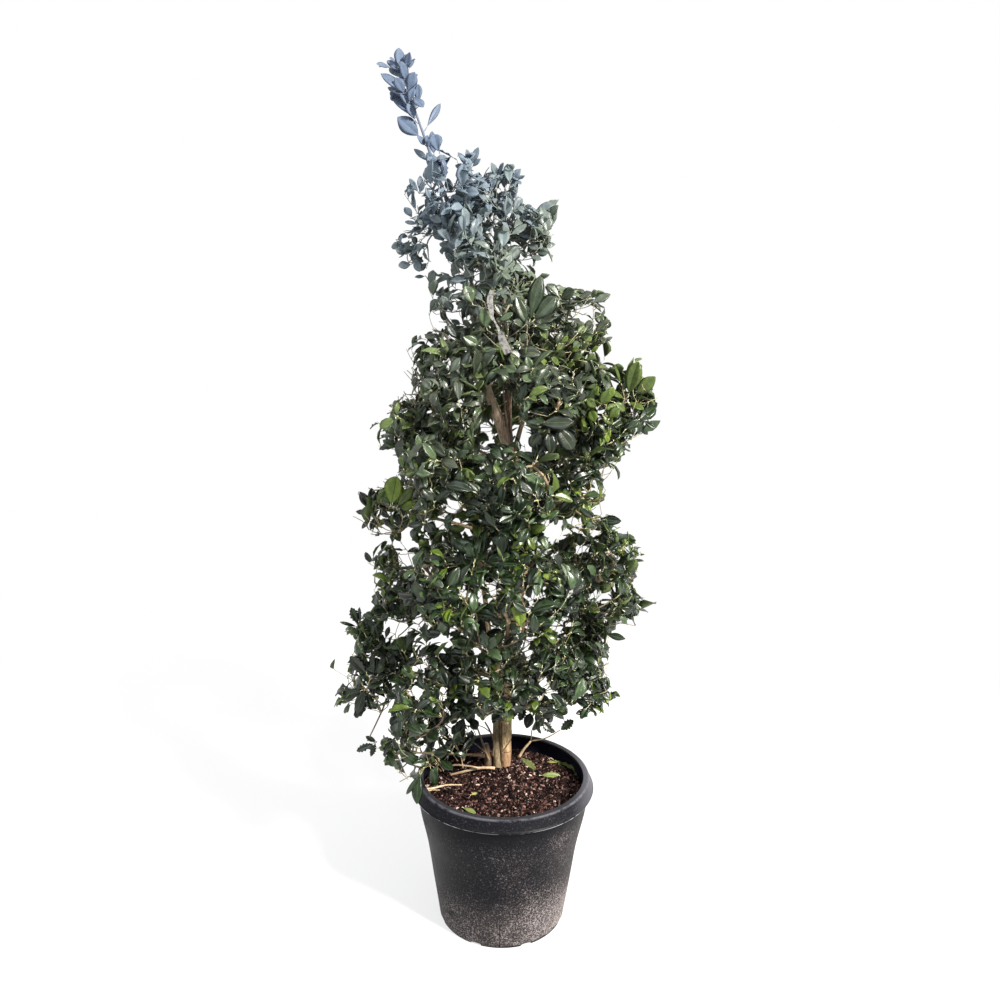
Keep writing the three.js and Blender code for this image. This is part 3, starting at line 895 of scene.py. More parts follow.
def makeTrunkBark(spec, paints):
    middles, sizes = middleLine("trunk", spec["trunkCuts"])
    low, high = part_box("trunk")
    foot = np.array([middles[0][0], middles[0][1], low.z - 0.008])
    top = middles[-1] + (middles[-1] - middles[-2]) * 0.8
    line = smoothCurve(np.vstack([foot, middles[1:], top]), spec["trunkStep"])
    line[:, 0] -= hump(line[:, 2], *spec["trunkBend"])
    heights = np.concatenate([[low.z], middles[1:, 2], [high.z]])
    radii = np.interp(line[:, 2], heights, np.concatenate([[sizes[1]], sizes[1:], [0.001]]))
    radii = radii * (0.98 - fading(np.maximum(line[:, 2] - low.z, 0), *spec["footTaper"]))
    groove = smoothCurve([(x, y, 0) for x, y in spec["groove"]], 1.0)
    scars = [(onTrunk(x, y, line, radii), *spec["grooveSize"]) for x, y, _ in groove]
    radii = radii * (1 + hump(line[:, 2], *spec["trunkSwelling"]))

    def kindAt(spot):
        if spot[2] < spec["paleBelow"]:
            return "barkPale"
        # the fork's bark holds painted sunlight
        return "barkFork" if spec["fork"][0] < spot[2] < spec["fork"][1] else "barkTan"

    pile = Pile()
    addLimb(pile, line, radii, spec["trunkSides"], barkRelief(2.6, 2.0, scars + spec["knots"]), kindAt)
    settle(pile.piece("trunkBark", paints), "bark", "trunk")
    return line, radii


def makeBoughBark(spec, paints, trunkLine):
    pile = Pile()
    lines = []
    for number, name in enumerate(limbNames()):
        middles, sizes = middleLine(name, spec["boughCuts"])
        middles = np.vstack([2 * middles[0] - middles[1], middles, 2 * middles[-1] - middles[-2]])
        sizes = np.concatenate([sizes[:1], sizes, sizes[-1:]])
        # each limb runs from its root to its tip
        startGaps, endGaps = (np.linalg.norm(trunkLine - middles[i], axis=1) for i in (0, -1))
        turned = endGaps.min() < startGaps.min()
        if name == "shoot_sprig":
            turned = middles[0][2] < middles[-1][2]
        if turned:
            middles, sizes, startGaps = middles[::-1], sizes[::-1], endGaps
        if name == "stem_second":
            order = np.argsort(middles[:, 2])
            middles, sizes = middles[order], sizes[order]
            middles = np.vstack([middles[0] + (middles[0] - middles[1]) * 0.5, middles])
            sizes = np.concatenate([sizes[:1], sizes])
        elif name == "shoot_left":
            middles, sizes = middles[3:], sizes[3:]  # it starts behind the second stem
        elif startGaps.min() < spec["joinReach"]:
            join = blended(middles[0], trunkLine[startGaps.argmin()], spec["joinShare"])
            middles = np.vstack([join, middles])
            sizes = np.concatenate([sizes[:1], sizes])
        line = smoothCurve(middles, spec["boughStep"])
        radii = np.linspace(sizes[0], sizes[-1], len(line))
        gone = np.linalg.norm(np.diff(line, axis=0, prepend=line[:1]), axis=1).cumsum()
        if name == "stem_second":
            line[:, 0] += fading(gone, *spec["stemRight"])
            line[:, 1] -= fading(gone, *spec["stemFront"])
            radii = radii * (1 + fading(gone, *spec["stemSwelling"]))
        elif name != "shoot_sprig":
            radii = radii * (1 + fading(gone, *spec["rootSwelling"]))
        old = radii[0] > spec["oldFrom"] and name.startswith(("stem", "bough"))
        kind = "barkDim" if name == "shoot_left" else "barkTan" if old else "barkShoot"
        relief = barkRelief(1.1, 5.0 + number)
        addLimb(pile, line, radii, spec["boughSides"], relief, lambda _, kind=kind: kind)
        lines.append(line)
    settle(pile.piece("boughBark", paints), "bark", *limbNames())
    return lines


barkPaints = [barkPaint(name, tones, step) for name, tones in limbs["tones"].items()
              for step in range(len(hazeSteps))]
trunkLine, trunkRadii = makeTrunkBark(limbs, barkPaints)
boughLines = makeBoughBark(limbs, barkPaints, trunkLine)
report("limbs")


# Crown: points are strewn in every mass, and a branching rule joins them to the limbs

crown = {
    "seed": 4,
    "spacing": 0.0292,
    "highFrom": 1.34,
    "highSpacing": 0.0238,
    "innerSpacing": 0.051,
    "shell": 0.060,
    "shrink": 0.86,
    "clump": 10.5,
    "clumpLimit": -0.20,
    "tries": (14, 60),  # for each space of a point in the mass's box, and added to that
    "pathCost": 0.30,  # what a branch pays for its way back to the limb, for turning and for going down
    "turnCost": 0.9,
    "turnFree": 0.35,
    "dropCost": 0.8,
    "twigTip": 0.0009,
    "twigPower": 2.35,
    "twigMost": 0.0046,
    "twigStep": 0.014,
    "twigJitter": 0.0011,
    "twigSides": (6, 4),  # of sturdy and thin ones
    "clearing": 0.82,  # share of each gap where no twig ends
    "bare": ("leader_tip", "leader_neck", "side_sprig", "low_sprig"),
}

# Openings in the foliage and notches in its outline, from the top down: the middle and half sizes of each,
# in frame pixels
gaps = {
    "top": [
        (455, 140, 8, 11), (501, 153, 18, 8), (484, 164, 6, 12), (453, 166, 5, 17), (448, 181, 6, 8),
        (503, 187, 4, 5), (537, 190, 21, 12), (573, 192, 12, 10), (399, 200, 6, 15), (408, 210, 9, 8),
        (491, 218, 3, 5), (396, 222, 20, 9), (568, 225, 14, 30), (493, 238, 3, 8), (432, 243, 5, 8),
        (511, 246, 4, 3), (440, 257, 4, 4), (462, 268, 3, 5), (479, 276, 4, 8), (590, 280, 24, 9),
        (461, 288, 2, 5), (424, 292, 10, 12)],
    "shoulders": [
        (585, 310, 9, 6), (452, 312, 7, 10), (422, 320, 19, 13), (628, 345, 16, 14), (403, 361, 13, 11),
        (447, 363, 3, 6), (658, 370, 14, 11), (388, 384, 24, 14), (669, 390, 11, 16), (463, 404, 3, 5),
        (370, 411, 20, 11), (600, 411, 4, 4), (488, 426, 4, 7), (524, 437, 4, 11), (651, 441, 11, 12)],
    "waist": [
        (374, 468, 20, 12), (364, 479, 22, 10), (615, 484, 12, 10), (590, 488, 6, 4), (618, 500, 17, 16),
        (451, 504, 12, 8), (342, 507, 10, 14), (358, 508, 8, 15), (607, 508, 13, 8), (602, 510, 10, 5),
        (438, 520, 6, 5), (576, 521, 8, 6), (554, 524, 6, 4), (459, 525, 5, 6), (597, 530, 5, 4),
        (386, 532, 5, 7), (354, 535, 18, 13), (400, 540, 6, 4), (584, 548, 5, 5), (464, 553, 4, 5),
        (406, 557, 7, 6)],
    "belly": [
        (426, 572, 5, 4), (648, 578, 14, 16), (496, 581, 7, 3), (361, 585, 15, 20), (463, 588, 4, 4),
        (492, 589, 3, 4), (531, 593, 7, 6), (543, 594, 4, 5), (601, 594, 9, 5), (482, 600, 3, 4),
        (351, 603, 17, 10), (547, 607, 5, 4), (419, 620, 5, 4), (558, 626, 5, 5), (391, 628, 11, 7),
        (622, 634, 14, 9), (530, 638, 4, 4)],
    "low": [
        (343, 647, 14, 13), (422, 650, 3, 5), (529, 651, 4, 4), (477, 652, 3, 7), (418, 666, 6, 4),
        (622, 668, 14, 20), (485, 674, 5, 5), (338, 676, 12, 10), (545, 680, 6, 5), (476, 690, 4, 6),
        (416, 691, 8, 7), (444, 692, 4, 4), (551, 694, 8, 5), (368, 722, 14, 9), (428, 723, 4, 4),
        (484, 725, 7, 9), (451, 726, 3, 8), (523, 726, 10, 9), (389, 777, 14, 14)],
}
gapGrowth = 2.3  # pixels added to each half size

# Limbs that show: leaves in front of the plane are left out there
windows = {
    "leaderLimb": (493, 403, 10, 23, 0.09),
    "leaderFoot": (502, 424, 8, 12, 0.09),
    "forkStems": (511, 416, 10, 20, 0.07),
    "forkRight": (523, 433, 7, 14, 0.07),
    "trunkFoot": (503, 746, 14, 27, 0.14),
    "trunkLow": (506, 690, 7, 13, 0.09),
    "label": (491, 305, 7, 18, -0.125),
    "labelTag": (504, 340, 10, 18, -0.125),
}

# Leaves with a place of their own, each given by its foot and its tip in frame pixels and its width in
# millimetres. "clear" keeps others from in front of them, "loose" ones have no twig, "clearer" takes haze
# off them, and "lean" says how far each tip is before or behind the plane.
accents = {
    "leaderTop": {"plane": 0.023, "tone": "plain", "lean": (-0.030, 0.030), "leaves": [
        (402, 72, 397, 50, 24), (404, 72, 411, 53, 17), (403, 75, 388, 58, 24), (392, 68, 377, 63, 13),
        (408, 70, 414, 60, 6), (407, 94, 382, 74, 25), (407, 93, 415, 73, 24), (404, 84, 399, 68, 22),
        (414, 118, 392, 92, 28), (411, 99, 417, 82, 17), (412, 95, 423, 108, 22), (410, 108, 400, 86, 22),
        (406, 82, 402, 62, 22), (411, 104, 405, 88, 22), (416, 122, 408, 104, 22), (404, 80, 390, 66, 20),
        (409, 100, 390, 84, 22), (406, 90, 410, 72, 20), (412, 112, 404, 96, 22), (409, 103, 413, 88, 20),
        (403, 76, 404, 58, 20), (414, 118, 410, 100, 20), (400, 70, 392, 60, 20), (406, 96, 396, 78, 24),
        (386, 79, 381, 73, 8), (410, 62, 415, 59, 6), (384, 65, 379, 67, 8), (414, 78, 417, 74, 7),
        (419, 106, 417, 84, 18), (405, 66, 408, 54, 16), (396, 62, 390, 58, 10), (393, 92, 392, 100, 12)]},
    "leaderNeck": {"plane": 0.034, "tone": "plain", "lean": (-0.030, 0.030), "leaves": [
        (421, 138, 399, 117, 35), (425, 130, 441, 103, 15), (434, 156, 432, 132, 19),
        (428, 162, 415, 148, 15), (439, 174, 428, 153, 26), (439, 175, 443, 154, 26),
        (440, 172, 449, 157, 18), (438, 173, 425, 168, 17), (434, 184, 423, 174, 17),
        (436, 166, 444, 160, 16), (435, 166, 428, 158, 20), (426, 146, 418, 136, 16),
        (429, 148, 427, 136, 17), (440, 182, 436, 163, 21), (438, 170, 433, 156, 22),
        (450, 192, 448, 179, 18)]},
    "leaderSide": {"plane": 0.035, "tone": "plain", "leaves": [
        (419, 193, 409, 179, 13), (420, 193, 420, 176, 14), (419, 194, 424, 181, 12)]},
    "topTuft": {"plane": 0.02, "tone": "plain", "leaves": [
        (470, 168, 458, 153, 16), (470, 168, 467, 150, 15), (470, 167, 478, 148, 14),
        (471, 168, 480, 159, 12), (468, 170, 456, 165, 15), (469, 172, 461, 178, 16),
        (470, 184, 461, 175, 19), (472, 188, 480, 179, 19)]},
    "topRightTuft": {"plane": 0.02, "tone": "plain", "leaves": [
        (497, 178, 492, 163, 17), (498, 178, 503, 163, 14), (505, 180, 508, 165, 14),
        (510, 183, 520, 169, 17), (519, 181, 510, 200, 21), (494, 186, 480, 180, 22),
        (515, 180, 521, 184, 13)]},
    "topArm": {"plane": 0.04, "tone": "light", "leaves": [
        (533, 212, 551, 205, 20), (530, 214, 516, 205, 22), (536, 217, 546, 223, 18),
        (539, 243, 551, 238, 19), (536, 252, 548, 252, 20), (541, 226, 549, 216, 15)]},
    "leftArm": {"plane": 0.04, "tone": "plain", "leaves": [
        (407, 254, 396, 249, 17), (406, 252, 400, 245, 13), (412, 264, 399, 266, 21),
        (414, 257, 421, 271, 20), (413, 219, 405, 207, 18), (419, 224, 405, 222, 10),
        (426, 276, 415, 277, 10)]},
    "tallSpray": {"plane": -0.1, "tone": "plain", "clear": True, "clearer": 0.22, "leaves": [
        (529, 323, 540, 277, 33), (527, 326, 517, 298, 28), (532, 322, 556, 297, 36),
        (529, 328, 515, 320, 22), (535, 326, 550, 328, 22), (527, 332, 520, 342, 20),
        (559, 300, 574, 290, 26), (560, 298, 548, 284, 26)]},
    "labelSides": {"plane": -0.11, "tone": "light", "clear": True, "clearer": 0.2, "leaves": [
        (487, 330, 483, 308, 30), (473, 305, 466, 286, 32), (498, 322, 512, 313, 16),
        (480, 346, 464, 337, 26)]},
    "upperRightTips": {"plane": 0.05, "tone": "plain", "leaves": [
        (592, 303, 610, 294, 22), (594, 310, 603, 323, 22), (585, 301, 578, 289, 22),
        (598, 345, 612, 337, 10)]},
    # olive and lime groups: partly paler leaves, partly painted light shining through sunlit leaves
    "rightSprig": {"plane": -0.01, "tone": "olive", "clear": True, "leaves": [
        (628, 397, 636, 363, 38), (634, 396, 654, 377, 31), (622, 386, 614, 365, 8),
        (625, 399, 612, 392, 24), (628, 402, 643, 409, 24), (622, 404, 607, 409, 22)]},
    "rightDark": {"plane": 0.03, "tone": "plain", "leaves": [
        (640, 413, 657, 404, 22), (641, 419, 655, 428, 12), (636, 422, 648, 434, 18),
        (596, 388, 595, 371, 18), (603, 390, 609, 377, 17)]},
    "rightLime": {"plane": -0.07, "tone": "olive", "clear": True, "leaves": [
        (600, 406, 609, 391, 27), (602, 414, 612, 424, 22), (597, 408, 587, 400, 22),
        (608, 420, 618, 408, 26), (596, 424, 590, 411, 24), (614, 402, 625, 410, 20)]},
    "rightLimeTwo": {"plane": -0.06, "tone": "lime", "leaves": [
        (606, 400, 614, 388, 20), (611, 428, 604, 438, 20), (590, 398, 598, 387, 18)]},
    "sunlit": {"plane": -0.09, "tone": "olive", "leaves": [
        (556, 352, 563, 342, 16), (566, 346, 574, 338, 16), (580, 350, 588, 344, 15),
        (572, 360, 581, 356, 16), (560, 366, 552, 358, 16), (586, 362, 594, 354, 15),
        (548, 340, 541, 332, 15), (577, 334, 584, 326, 15)]},
    "sunlitPale": {"plane": -0.085, "tone": "lime", "leaves": [
        (560, 344, 568, 337, 13), (570, 352, 578, 348, 13), (584, 342, 592, 338, 13),
        (552, 360, 558, 352, 13), (590, 352, 598, 348, 13), (566, 368, 574, 363, 13),
        (542, 350, 549, 344, 13), (555, 372, 561, 379, 13)]},
    "topFill": {"plane": 0.03, "tone": "plain", "leaves": [
        (520, 214, 531, 206, 22), (522, 222, 534, 219, 22), (517, 232, 529, 236, 22),
        (526, 244, 537, 248, 20), (518, 250, 528, 256, 20), (512, 222, 520, 229, 20),
        (524, 232, 536, 229, 20), (510, 268, 521, 266, 20), (506, 258, 514, 252, 18),
        (530, 256, 541, 259, 18), (514, 206, 522, 198, 18), (504, 204, 512, 197, 18)]},
    "bigDark": {"plane": -0.17, "tone": "deep", "clear": True, "leaves": [
        (537, 424, 572, 421, 36), (540, 429, 532, 447, 28), (556, 425, 572, 449, 36),
        (549, 430, 550, 452, 30)]},
    "waistLime": {"plane": -0.05, "tone": "lime", "clear": True, "leaves": [
        (390, 507, 398, 478, 46), (388, 506, 380, 490, 24)]},
    "waistOlive": {"plane": -0.04, "tone": "olive", "clear": True, "leaves": [
        (396, 508, 411, 489, 30), (398, 509, 412, 504, 22)]},
    "waistTip": {"plane": 0.02, "tone": "deep", "leaves": [
        (372, 512, 361, 492, 22), (374, 512, 371, 489, 20), (371, 514, 356, 511, 14),
        (372, 516, 362, 528, 12), (375, 516, 372, 530, 17), (376, 511, 384, 498, 20)]},
    "sideSprig": {"plane": 0.02, "tone": "plain", "leaves": [
        (359, 626, 351, 609, 21), (360, 625, 359, 608, 14), (358, 627, 341, 622, 8),
        (363, 628, 372, 613, 19), (365, 630, 378, 624, 20), (362, 632, 368, 641, 18),
        (379, 646, 358, 636, 11), (385, 640, 389, 627, 12), (380, 648, 392, 650, 14)]},
    "lowLeftTips": {"plane": -0.04, "tone": "deep", "clear": True, "leaves": [
        (368, 676, 351, 657, 36), (374, 678, 371, 654, 16), (377, 676, 385, 660, 24),
        (363, 690, 341, 697, 30), (365, 688, 357, 713, 26), (367, 690, 371, 709, 22),
        (361, 682, 358, 690, 13)]},
    "lowSprig": {"plane": -0.03, "tone": "plain", "leaves": [
        (376, 742, 371, 756, 14), (375, 743, 357, 750, 17), (377, 742, 366, 737, 12)]},
    "rimLeaves": {"plane": -0.1, "tone": "plain", "clear": True, "leaves": [
        (420, 770, 415, 803, 26), (424, 768, 401, 752, 26), (422, 772, 406, 794, 12),
        (430, 766, 436, 786, 20), (438, 758, 452, 770, 22), (428, 762, 414, 764, 22),
        (432, 755, 447, 752, 22), (420, 748, 405, 738, 26)]},
    "neckLoop": {"plane": 0.03, "tone": "deep", "loose": True, "leaves": [
        (442, 300, 429, 307, 24), (446, 297, 436, 291, 21), (445, 299, 452, 310, 19),
        (446, 322, 441, 310, 19), (452, 326, 463, 333, 24), (450, 319, 459, 323, 15),
        (441, 303, 445, 313, 19)]},
    "rightTips": {"plane": 0.03, "tone": "plain", "leaves": [
        (613, 597, 630, 590, 25), (620, 602, 641, 607, 22), (618, 606, 633, 617, 23),
        (606, 611, 620, 619, 24), (604, 634, 625, 638, 17), (592, 648, 609, 657, 20),
        (590, 683, 607, 678, 20), (614, 566, 631, 557, 22), (612, 572, 630, 574, 20),
        (600, 548, 606, 532, 18)]},
    "lowRightCurtain": {"plane": 0.02, "tone": "deep", "leaves": [
        (531, 711, 527, 728, 24), (537, 709, 542, 726, 24), (545, 708, 553, 722, 24),
        (525, 705, 520, 720, 22), (541, 721, 552, 731, 22), (556, 706, 567, 713, 22),
        (534, 700, 545, 708, 24), (516, 703, 513, 717, 20)]},
    "soilRight": {"plane": 0.09, "tone": "plain", "loose": True, "leaves": [
        (559, 731, 573, 721, 24), (556, 732, 549, 730, 12)]},
    "lowCurtain": {"plane": 0.0, "tone": "deep", "leaves": [
        (470, 692, 461, 708, 26), (474, 696, 477, 713, 25), (464, 702, 455, 716, 24),
        (471, 705, 469, 723, 26), (458, 708, 452, 724, 22), (465, 716, 458, 732, 26),
        (470, 716, 477, 729, 24), (466, 726, 459, 742, 24), (472, 728, 470, 745, 24),
        (462, 722, 451, 733, 20), (475, 735, 464, 748, 22), (480, 700, 487, 712, 22)]},
    "lowLeftCurtain": {"plane": -0.03, "tone": "deep", "leaves": [
        (436, 702, 426, 714, 24), (441, 706, 443, 722, 24), (431, 712, 438, 728, 22),
        (424, 708, 412, 716, 22), (416, 716, 408, 730, 22), (440, 722, 446, 738, 22),
        (412, 728, 400, 736, 22), (436, 734, 428, 748, 22), (452, 744, 442, 756, 20),
        (400, 744, 392, 752, 18), (420, 730, 411, 742, 22), (404, 722, 395, 730, 20),
        (430, 728, 420, 735, 22), (456, 738, 447, 748, 22), (398, 716, 390, 724, 20),
        (446, 712, 438, 720, 22), (410, 716, 402, 725, 24), (428, 716, 436, 727, 24),
        (444, 716, 436, 728, 22), (422, 722, 414, 734, 24), (396, 720, 393, 732, 20)]},
    "lowRightTips": {"plane": 0.04, "tone": "plain", "leaves": [
        (604, 703, 599, 694, 15), (604, 703, 617, 694, 10), (590, 707, 576, 700, 20),
        (588, 709, 577, 714, 14), (606, 688, 592, 683, 18)]},
}


def massNames():
    other = {"pot", "soil", "trunk", *limbNames()}
    return [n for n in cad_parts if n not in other]


class Masses:
    # The outlines of all the masses: which one a point is in, and how deep
    def __init__(self):
        self.trees = {}
        self.middles = {}
        points, faces = [], []
        for name in massNames():
            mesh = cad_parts[name].data
            ownPoints = [v.co.copy() for v in mesh.vertices]
            ownFaces = [tuple(p.vertices) for p in mesh.polygons]
            self.trees[name] = BVHTree.FromPolygons(ownPoints, ownFaces)
            low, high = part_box(name)
            self.middles[name] = (low + high) / 2
            faces += [tuple(i + len(points) for i in f) for f in ownFaces]
            points += ownPoints
        self.whole = BVHTree.FromPolygons(points, faces)
        # ways out: level, rising and falling
        self.ways = [Vector((math.cos(a) * flat, math.sin(a) * flat, rise))
                     for rise, flat in ((0, 1), (0.7, 0.714), (-0.7, 0.714)) for a in fullTurn(6) + rise]

    def inside(self, name, spot):
        hits, start = 0, Vector(spot)
        step = Vector((0.577, 0.577, 0.577))
        while True:
            hit = self.trees[name].ray_cast(start, step)[0]
            if hit is None:
                return hits % 2 == 1
            hits += 1
            start = hit + step * 1e-5

    def within(self, spot, slack):
        # True where the spot is in some mass, or no further than slack outside one
        near, normal, _, gap = self.whole.find_nearest(Vector(spot))
        return gap <= slack or (Vector(spot) - near).dot(normal) < 0

    def depth(self, spot):
        # How far the open air is, whichever way it is nearest
        least = 1.0
        for way in self.ways:
            hit = self.whole.ray_cast(spot + way * 2, -way)[0]
            if hit is not None:
                least = min(least, (hit - spot).dot(way))
        return max(0.0, least)


def hides(spot, ovals):
    # ovals: middle and half sizes in frame pixels, and the plane in front of which nothing may stand
    x, y = sight.shows(spot)
    inside = ((x - ovals[:, 0]) / ovals[:, 2]) ** 2 + ((y - ovals[:, 1]) / ovals[:, 3]) ** 2 < 1
    return bool((inside & (spot[1] < ovals[:, 4])).any())


def openings(scale, growth):
    # The gaps as ovals that hold at any depth
    return [(x, y, wide * scale + growth, tall * scale + growth, math.inf)
            for rows in gaps.values() for x, y, wide, tall in rows]


def strewPoints(masses, spec):
    rng = random.Random(spec["seed"])
    clear = np.array(openings(spec["clearing"], 0))
    strewn, owners, depths, cells = [], [], [], {}
    around = [(dx, dy, dz) for dx in (-1, 0, 1) for dy in (-1, 0, 1) for dz in (-1, 0, 1)]
    for name in massNames():
        if name in spec["bare"]:
            continue
        low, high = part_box(name)
        middle = masses.middles[name]
        volume = (high.x - low.x) * (high.y - low.y) * (high.z - low.z)
        each, more = spec["tries"]
        for _ in range(int(volume / spec["spacing"] ** 3 * each) + more):
            spot = Vector(rng.uniform(a, b) for a, b in zip(low, high))
            if not masses.inside(name, middle + (spot - middle) / spec["shrink"]):
                continue
            if noise.noise(spot * spec["clump"]) < spec["clumpLimit"] or hides(spot, clear):
                continue
            depth = masses.depth(spot)
            space = spec["highSpacing"] if spot.z > spec["highFrom"] else spec["spacing"]
            if depth > spec["shell"]:
                space = spec["innerSpacing"]
            key = tuple(int(math.floor(c / spec["innerSpacing"])) for c in spot)
            near = [old for step in around for old in cells.get(tuple(a + b for a, b in zip(key, step)), ())]
            if any((spot - old).length < space for old in near):
                continue
            cells.setdefault(key, []).append(spot)
            strewn.append(spot)
            owners.append(name)
            depths.append(depth)
    return strewn, owners, depths


def growBranches(targets, roots, spec):
    # Joins each target to the nearest branch so far, counting the way back to the limb in part.
    # Downward and backward steps cost more. Returns the parent of each point.
    places = np.vstack([roots, targets])
    rootCount, count = len(roots), len(places)
    parent = np.full(count, -1)
    heading = np.zeros((count, 3))
    pathway = np.zeros(count)
    best = np.full(count, np.inf)
    bestFrom = np.full(count, -1)
    pending = np.zeros(count, bool)
    pending[rootCount:] = True

    def offer(source):
        ids = np.nonzero(pending)[0]
        step = places[ids] - places[source]
        far = np.linalg.norm(step, axis=1)
        ahead = step / np.maximum(far, 1e-9)[:, None]
        turn = ahead @ heading[source]
        drop = np.maximum(0, -ahead[:, 2])
        turnCost = spec["turnCost"] * np.maximum(0, spec["turnFree"] - turn) * (source >= rootCount)
        cost = far * (1 + turnCost + spec["dropCost"] * drop)
        cost = cost + spec["pathCost"] * pathway[source]
        better = cost < best[ids]
        best[ids[better]] = cost[better]
        bestFrom[ids[better]] = source

    for source in range(rootCount):
        offer(source)
    for _ in range(len(targets)):
        ids = np.nonzero(pending)[0]
        chosen = ids[best[ids].argmin()]
        source = bestFrom[chosen]
        parent[chosen] = source
        step = places[chosen] - places[source]
        pathway[chosen] = pathway[source] + np.linalg.norm(step)
        heading[chosen] = step / max(np.linalg.norm(step), 1e-9)
        pending[chosen] = False
        offer(chosen)
    return places, parent, heading


def chainsOf(places, parent, rootCount):
    # Splits the branches into runs from a fork to a tip, the heaviest child going on
    count = len(places)
    kids = [[] for _ in range(count)]
    for i in range(rootCount, count):
        kids[parent[i]].append(i)
    tips = np.zeros(count, int)
    order, stack = [], list(range(rootCount))
    while stack:
        at = stack.pop()
        order.append(at)
        stack.extend(kids[at])
    for at in reversed(order):
        tips[at] = max(1, sum(tips[k] for k in kids[at])) if at >= rootCount else 0
    chains = []
    starts = [(root, kid) for root in range(rootCount) for kid in kids[root]]
    while starts:
        source, at = starts.pop()
        run = [source, at]
        while kids[at]:
            ranked = sorted(kids[at], key=lambda k: -tips[k])
            starts += [(at, k) for k in ranked[1:]]
            at = ranked[0]
            run.append(at)
        chains.append(run)
    return chains, tips


def accentLeaves(specs):
    # Foot and tip of each accent leaf in metres, its width, and what its group says
    dice = random.Random(17)
    rows = []
    for spec in specs.values():
        for x0, y0, x1, y1, width in spec["leaves"]:
            foot = sight.at(x0, y0, spec["plane"] + dice.uniform(-0.006, 0.006))
            tip = sight.at(x1, y1, spec["plane"] + dice.uniform(*spec.get("lean", (-0.028, 0.012))))
            rows.append((foot, tip, width / 1000, spec))
    return rows


masses = Masses()
strewn, owners, depths = strewPoints(masses, crown)
accentRows = accentLeaves(accents)
limbPoints = [trunkLine[(trunkLine[:, 2] > 0.50)][::6]]
limbPoints += [line[int(len(line) * 0.35)::3] for line in boughLines]
limbPoints = np.vstack(limbPoints)
targets = np.vstack([strewn, [foot for foot, _, _, spec in accentRows if not spec.get("loose")]])
places, parent, heading = growBranches(targets, limbPoints, crown)
chains, tipCounts = chainsOf(places, parent, len(limbPoints))
report(f"branches, {len(strewn)} points, {len(chains)} runs")


# Shoots: short leafy twigs at the ends and along the sides of the branches

shoots = {
    "seed": 21,
    "steps": 4,
    "tipLength": (0.026, 0.058),
    "sideLength": (0.014, 0.036),
    "trunkLength": (0.035, 0.085),
    "trunkStep": 0.015,
    "trunkSpan": (0.60, 1.80),  # heights between which the trunk has shoots
    "trunkEnd": 40,  # points of the trunk's line without shoots, at its top
    "trunkRise": (0.2, 0.7),
    "trunkLeaves": 7,  # at most, on each of its shoots
    "high": 1.5,  # the crown is finer above
    "outerShare": 0.82,
    "innerShare": 0.45,
    "tipAhead": (0.6, 0.7, 0.4, 0.22),  # shares of the branch's own way, outward, up and chance
    "sideAhead": (0.3, 0.8),
    "sideChance": [(0, 0.4), (0, 0.4), (0.25, 0.3)],
    "size": (0.80, 1.18),
    "highSize": 0.90,
    "leafStep": 0.0074,
    "bareFoot": 0.10,  # share of a shoot before its first leaf
    "turn": 2.4,  # radians from one leaf or trunk shoot to the next, and what chance adds
    "turnChance": 0.35,
    "spread": 1.25,  # radians between a shoot and the leaves at its foot
    "spreadFall": 0.55,  # less at its tip
    "spreadChance": 0.28,
    "lastFall": 0.3,  # less again for the last leaf
    "nod": (-0.22, 0.20),  # how far leaves hang or rise
    "facing": (0.75, 0.55, 0.30, 0.30),  # shares of the shoot's way, up, outward and chance
    "rise": 0.08,
    "wander": 0.10,
    "ownFamily": 0.7,  # share of a shoot's leaves that are of one family
    "leafLength": (0.034, 0.068),
    "leafWidth": (0.45, 0.62),  # share of the length
    "slack": (-0.004, 0.036),  # how far leaves may stand out of their mass
    "tipRadius": 0.0010,
    "sturdy": 0.0022,  # radius from which a twig is round and brown
    "spinyShare": (0.34, 0.16),  # below and above spinyHeight
    "spinyHeight": 1.0,
    "tiers": (0.66, 0.84, 1.00, 1.16, 1.32, 1.50, 1.68),  # heights where the pieces of the foliage meet
    # lime and olive leaves: partly paler young leaves, partly painted light shining through sunlit leaves
    "families": [("lime", 0.03), ("olive", 0.10), ("light", 0.30), ("plain", 0.64), ("deep", 1.0)],
}

Leaf = namedtuple("Leaf", "base ahead face length width tone haze spiny tier calm")


class Leaves:
    # Where every leaf sits, which way it points and what it is like
    def __init__(self):
        self.rows = []
        self.dice = random.Random(shoots["seed"])
        screens = openings(1, gapGrowth) + list(windows.values())
        for spec in accents.values():
            if spec.get("clear"):
                for x0, y0, x1, y1, _ in spec["leaves"]:
                    x, y, reach = x0 * 0.4 + x1 * 0.6, y0 * 0.4 + y1 * 0.6, math.hypot(x1 - x0, y1 - y0)
                    reach = reach * 0.42 + 3
                    screens.append((x, y, reach, reach, spec["plane"] - 0.012))
        self.screens = np.array(screens)

    def allowed(self, base, tip, slack):
        middle = base * 0.4 + tip * 0.6
        return masses.within(tip, slack) and not hides(middle, self.screens) and not hides(tip, self.screens)

    def family(self):
        roll = self.dice.random()
        return next(name for name, top in shoots["families"] if roll < top)

    def tier(self, height):
        return sum(height > edge for edge in shoots["tiers"])

    def add(self, base, ahead, face, length, width, tone, spiny, calm=0.0, shift=0.0):
        # calm takes the curl and the folds out of a leaf, from 0 to 1; shift moves its haze up or down
        haze = hazeStep(base, self.dice.uniform(-0.05, 0.05) + shift)
        self.rows.append(Leaf(base, ahead, face, length, width, tone, haze, spiny, self.tier(base[2]), calm))


leaves = Leaves()
twigs = Pile()
lift = np.array([0, 0, 1.0])


def scatter(size):
    return np.array([leaves.dice.gauss(0, size) for _ in range(3)])


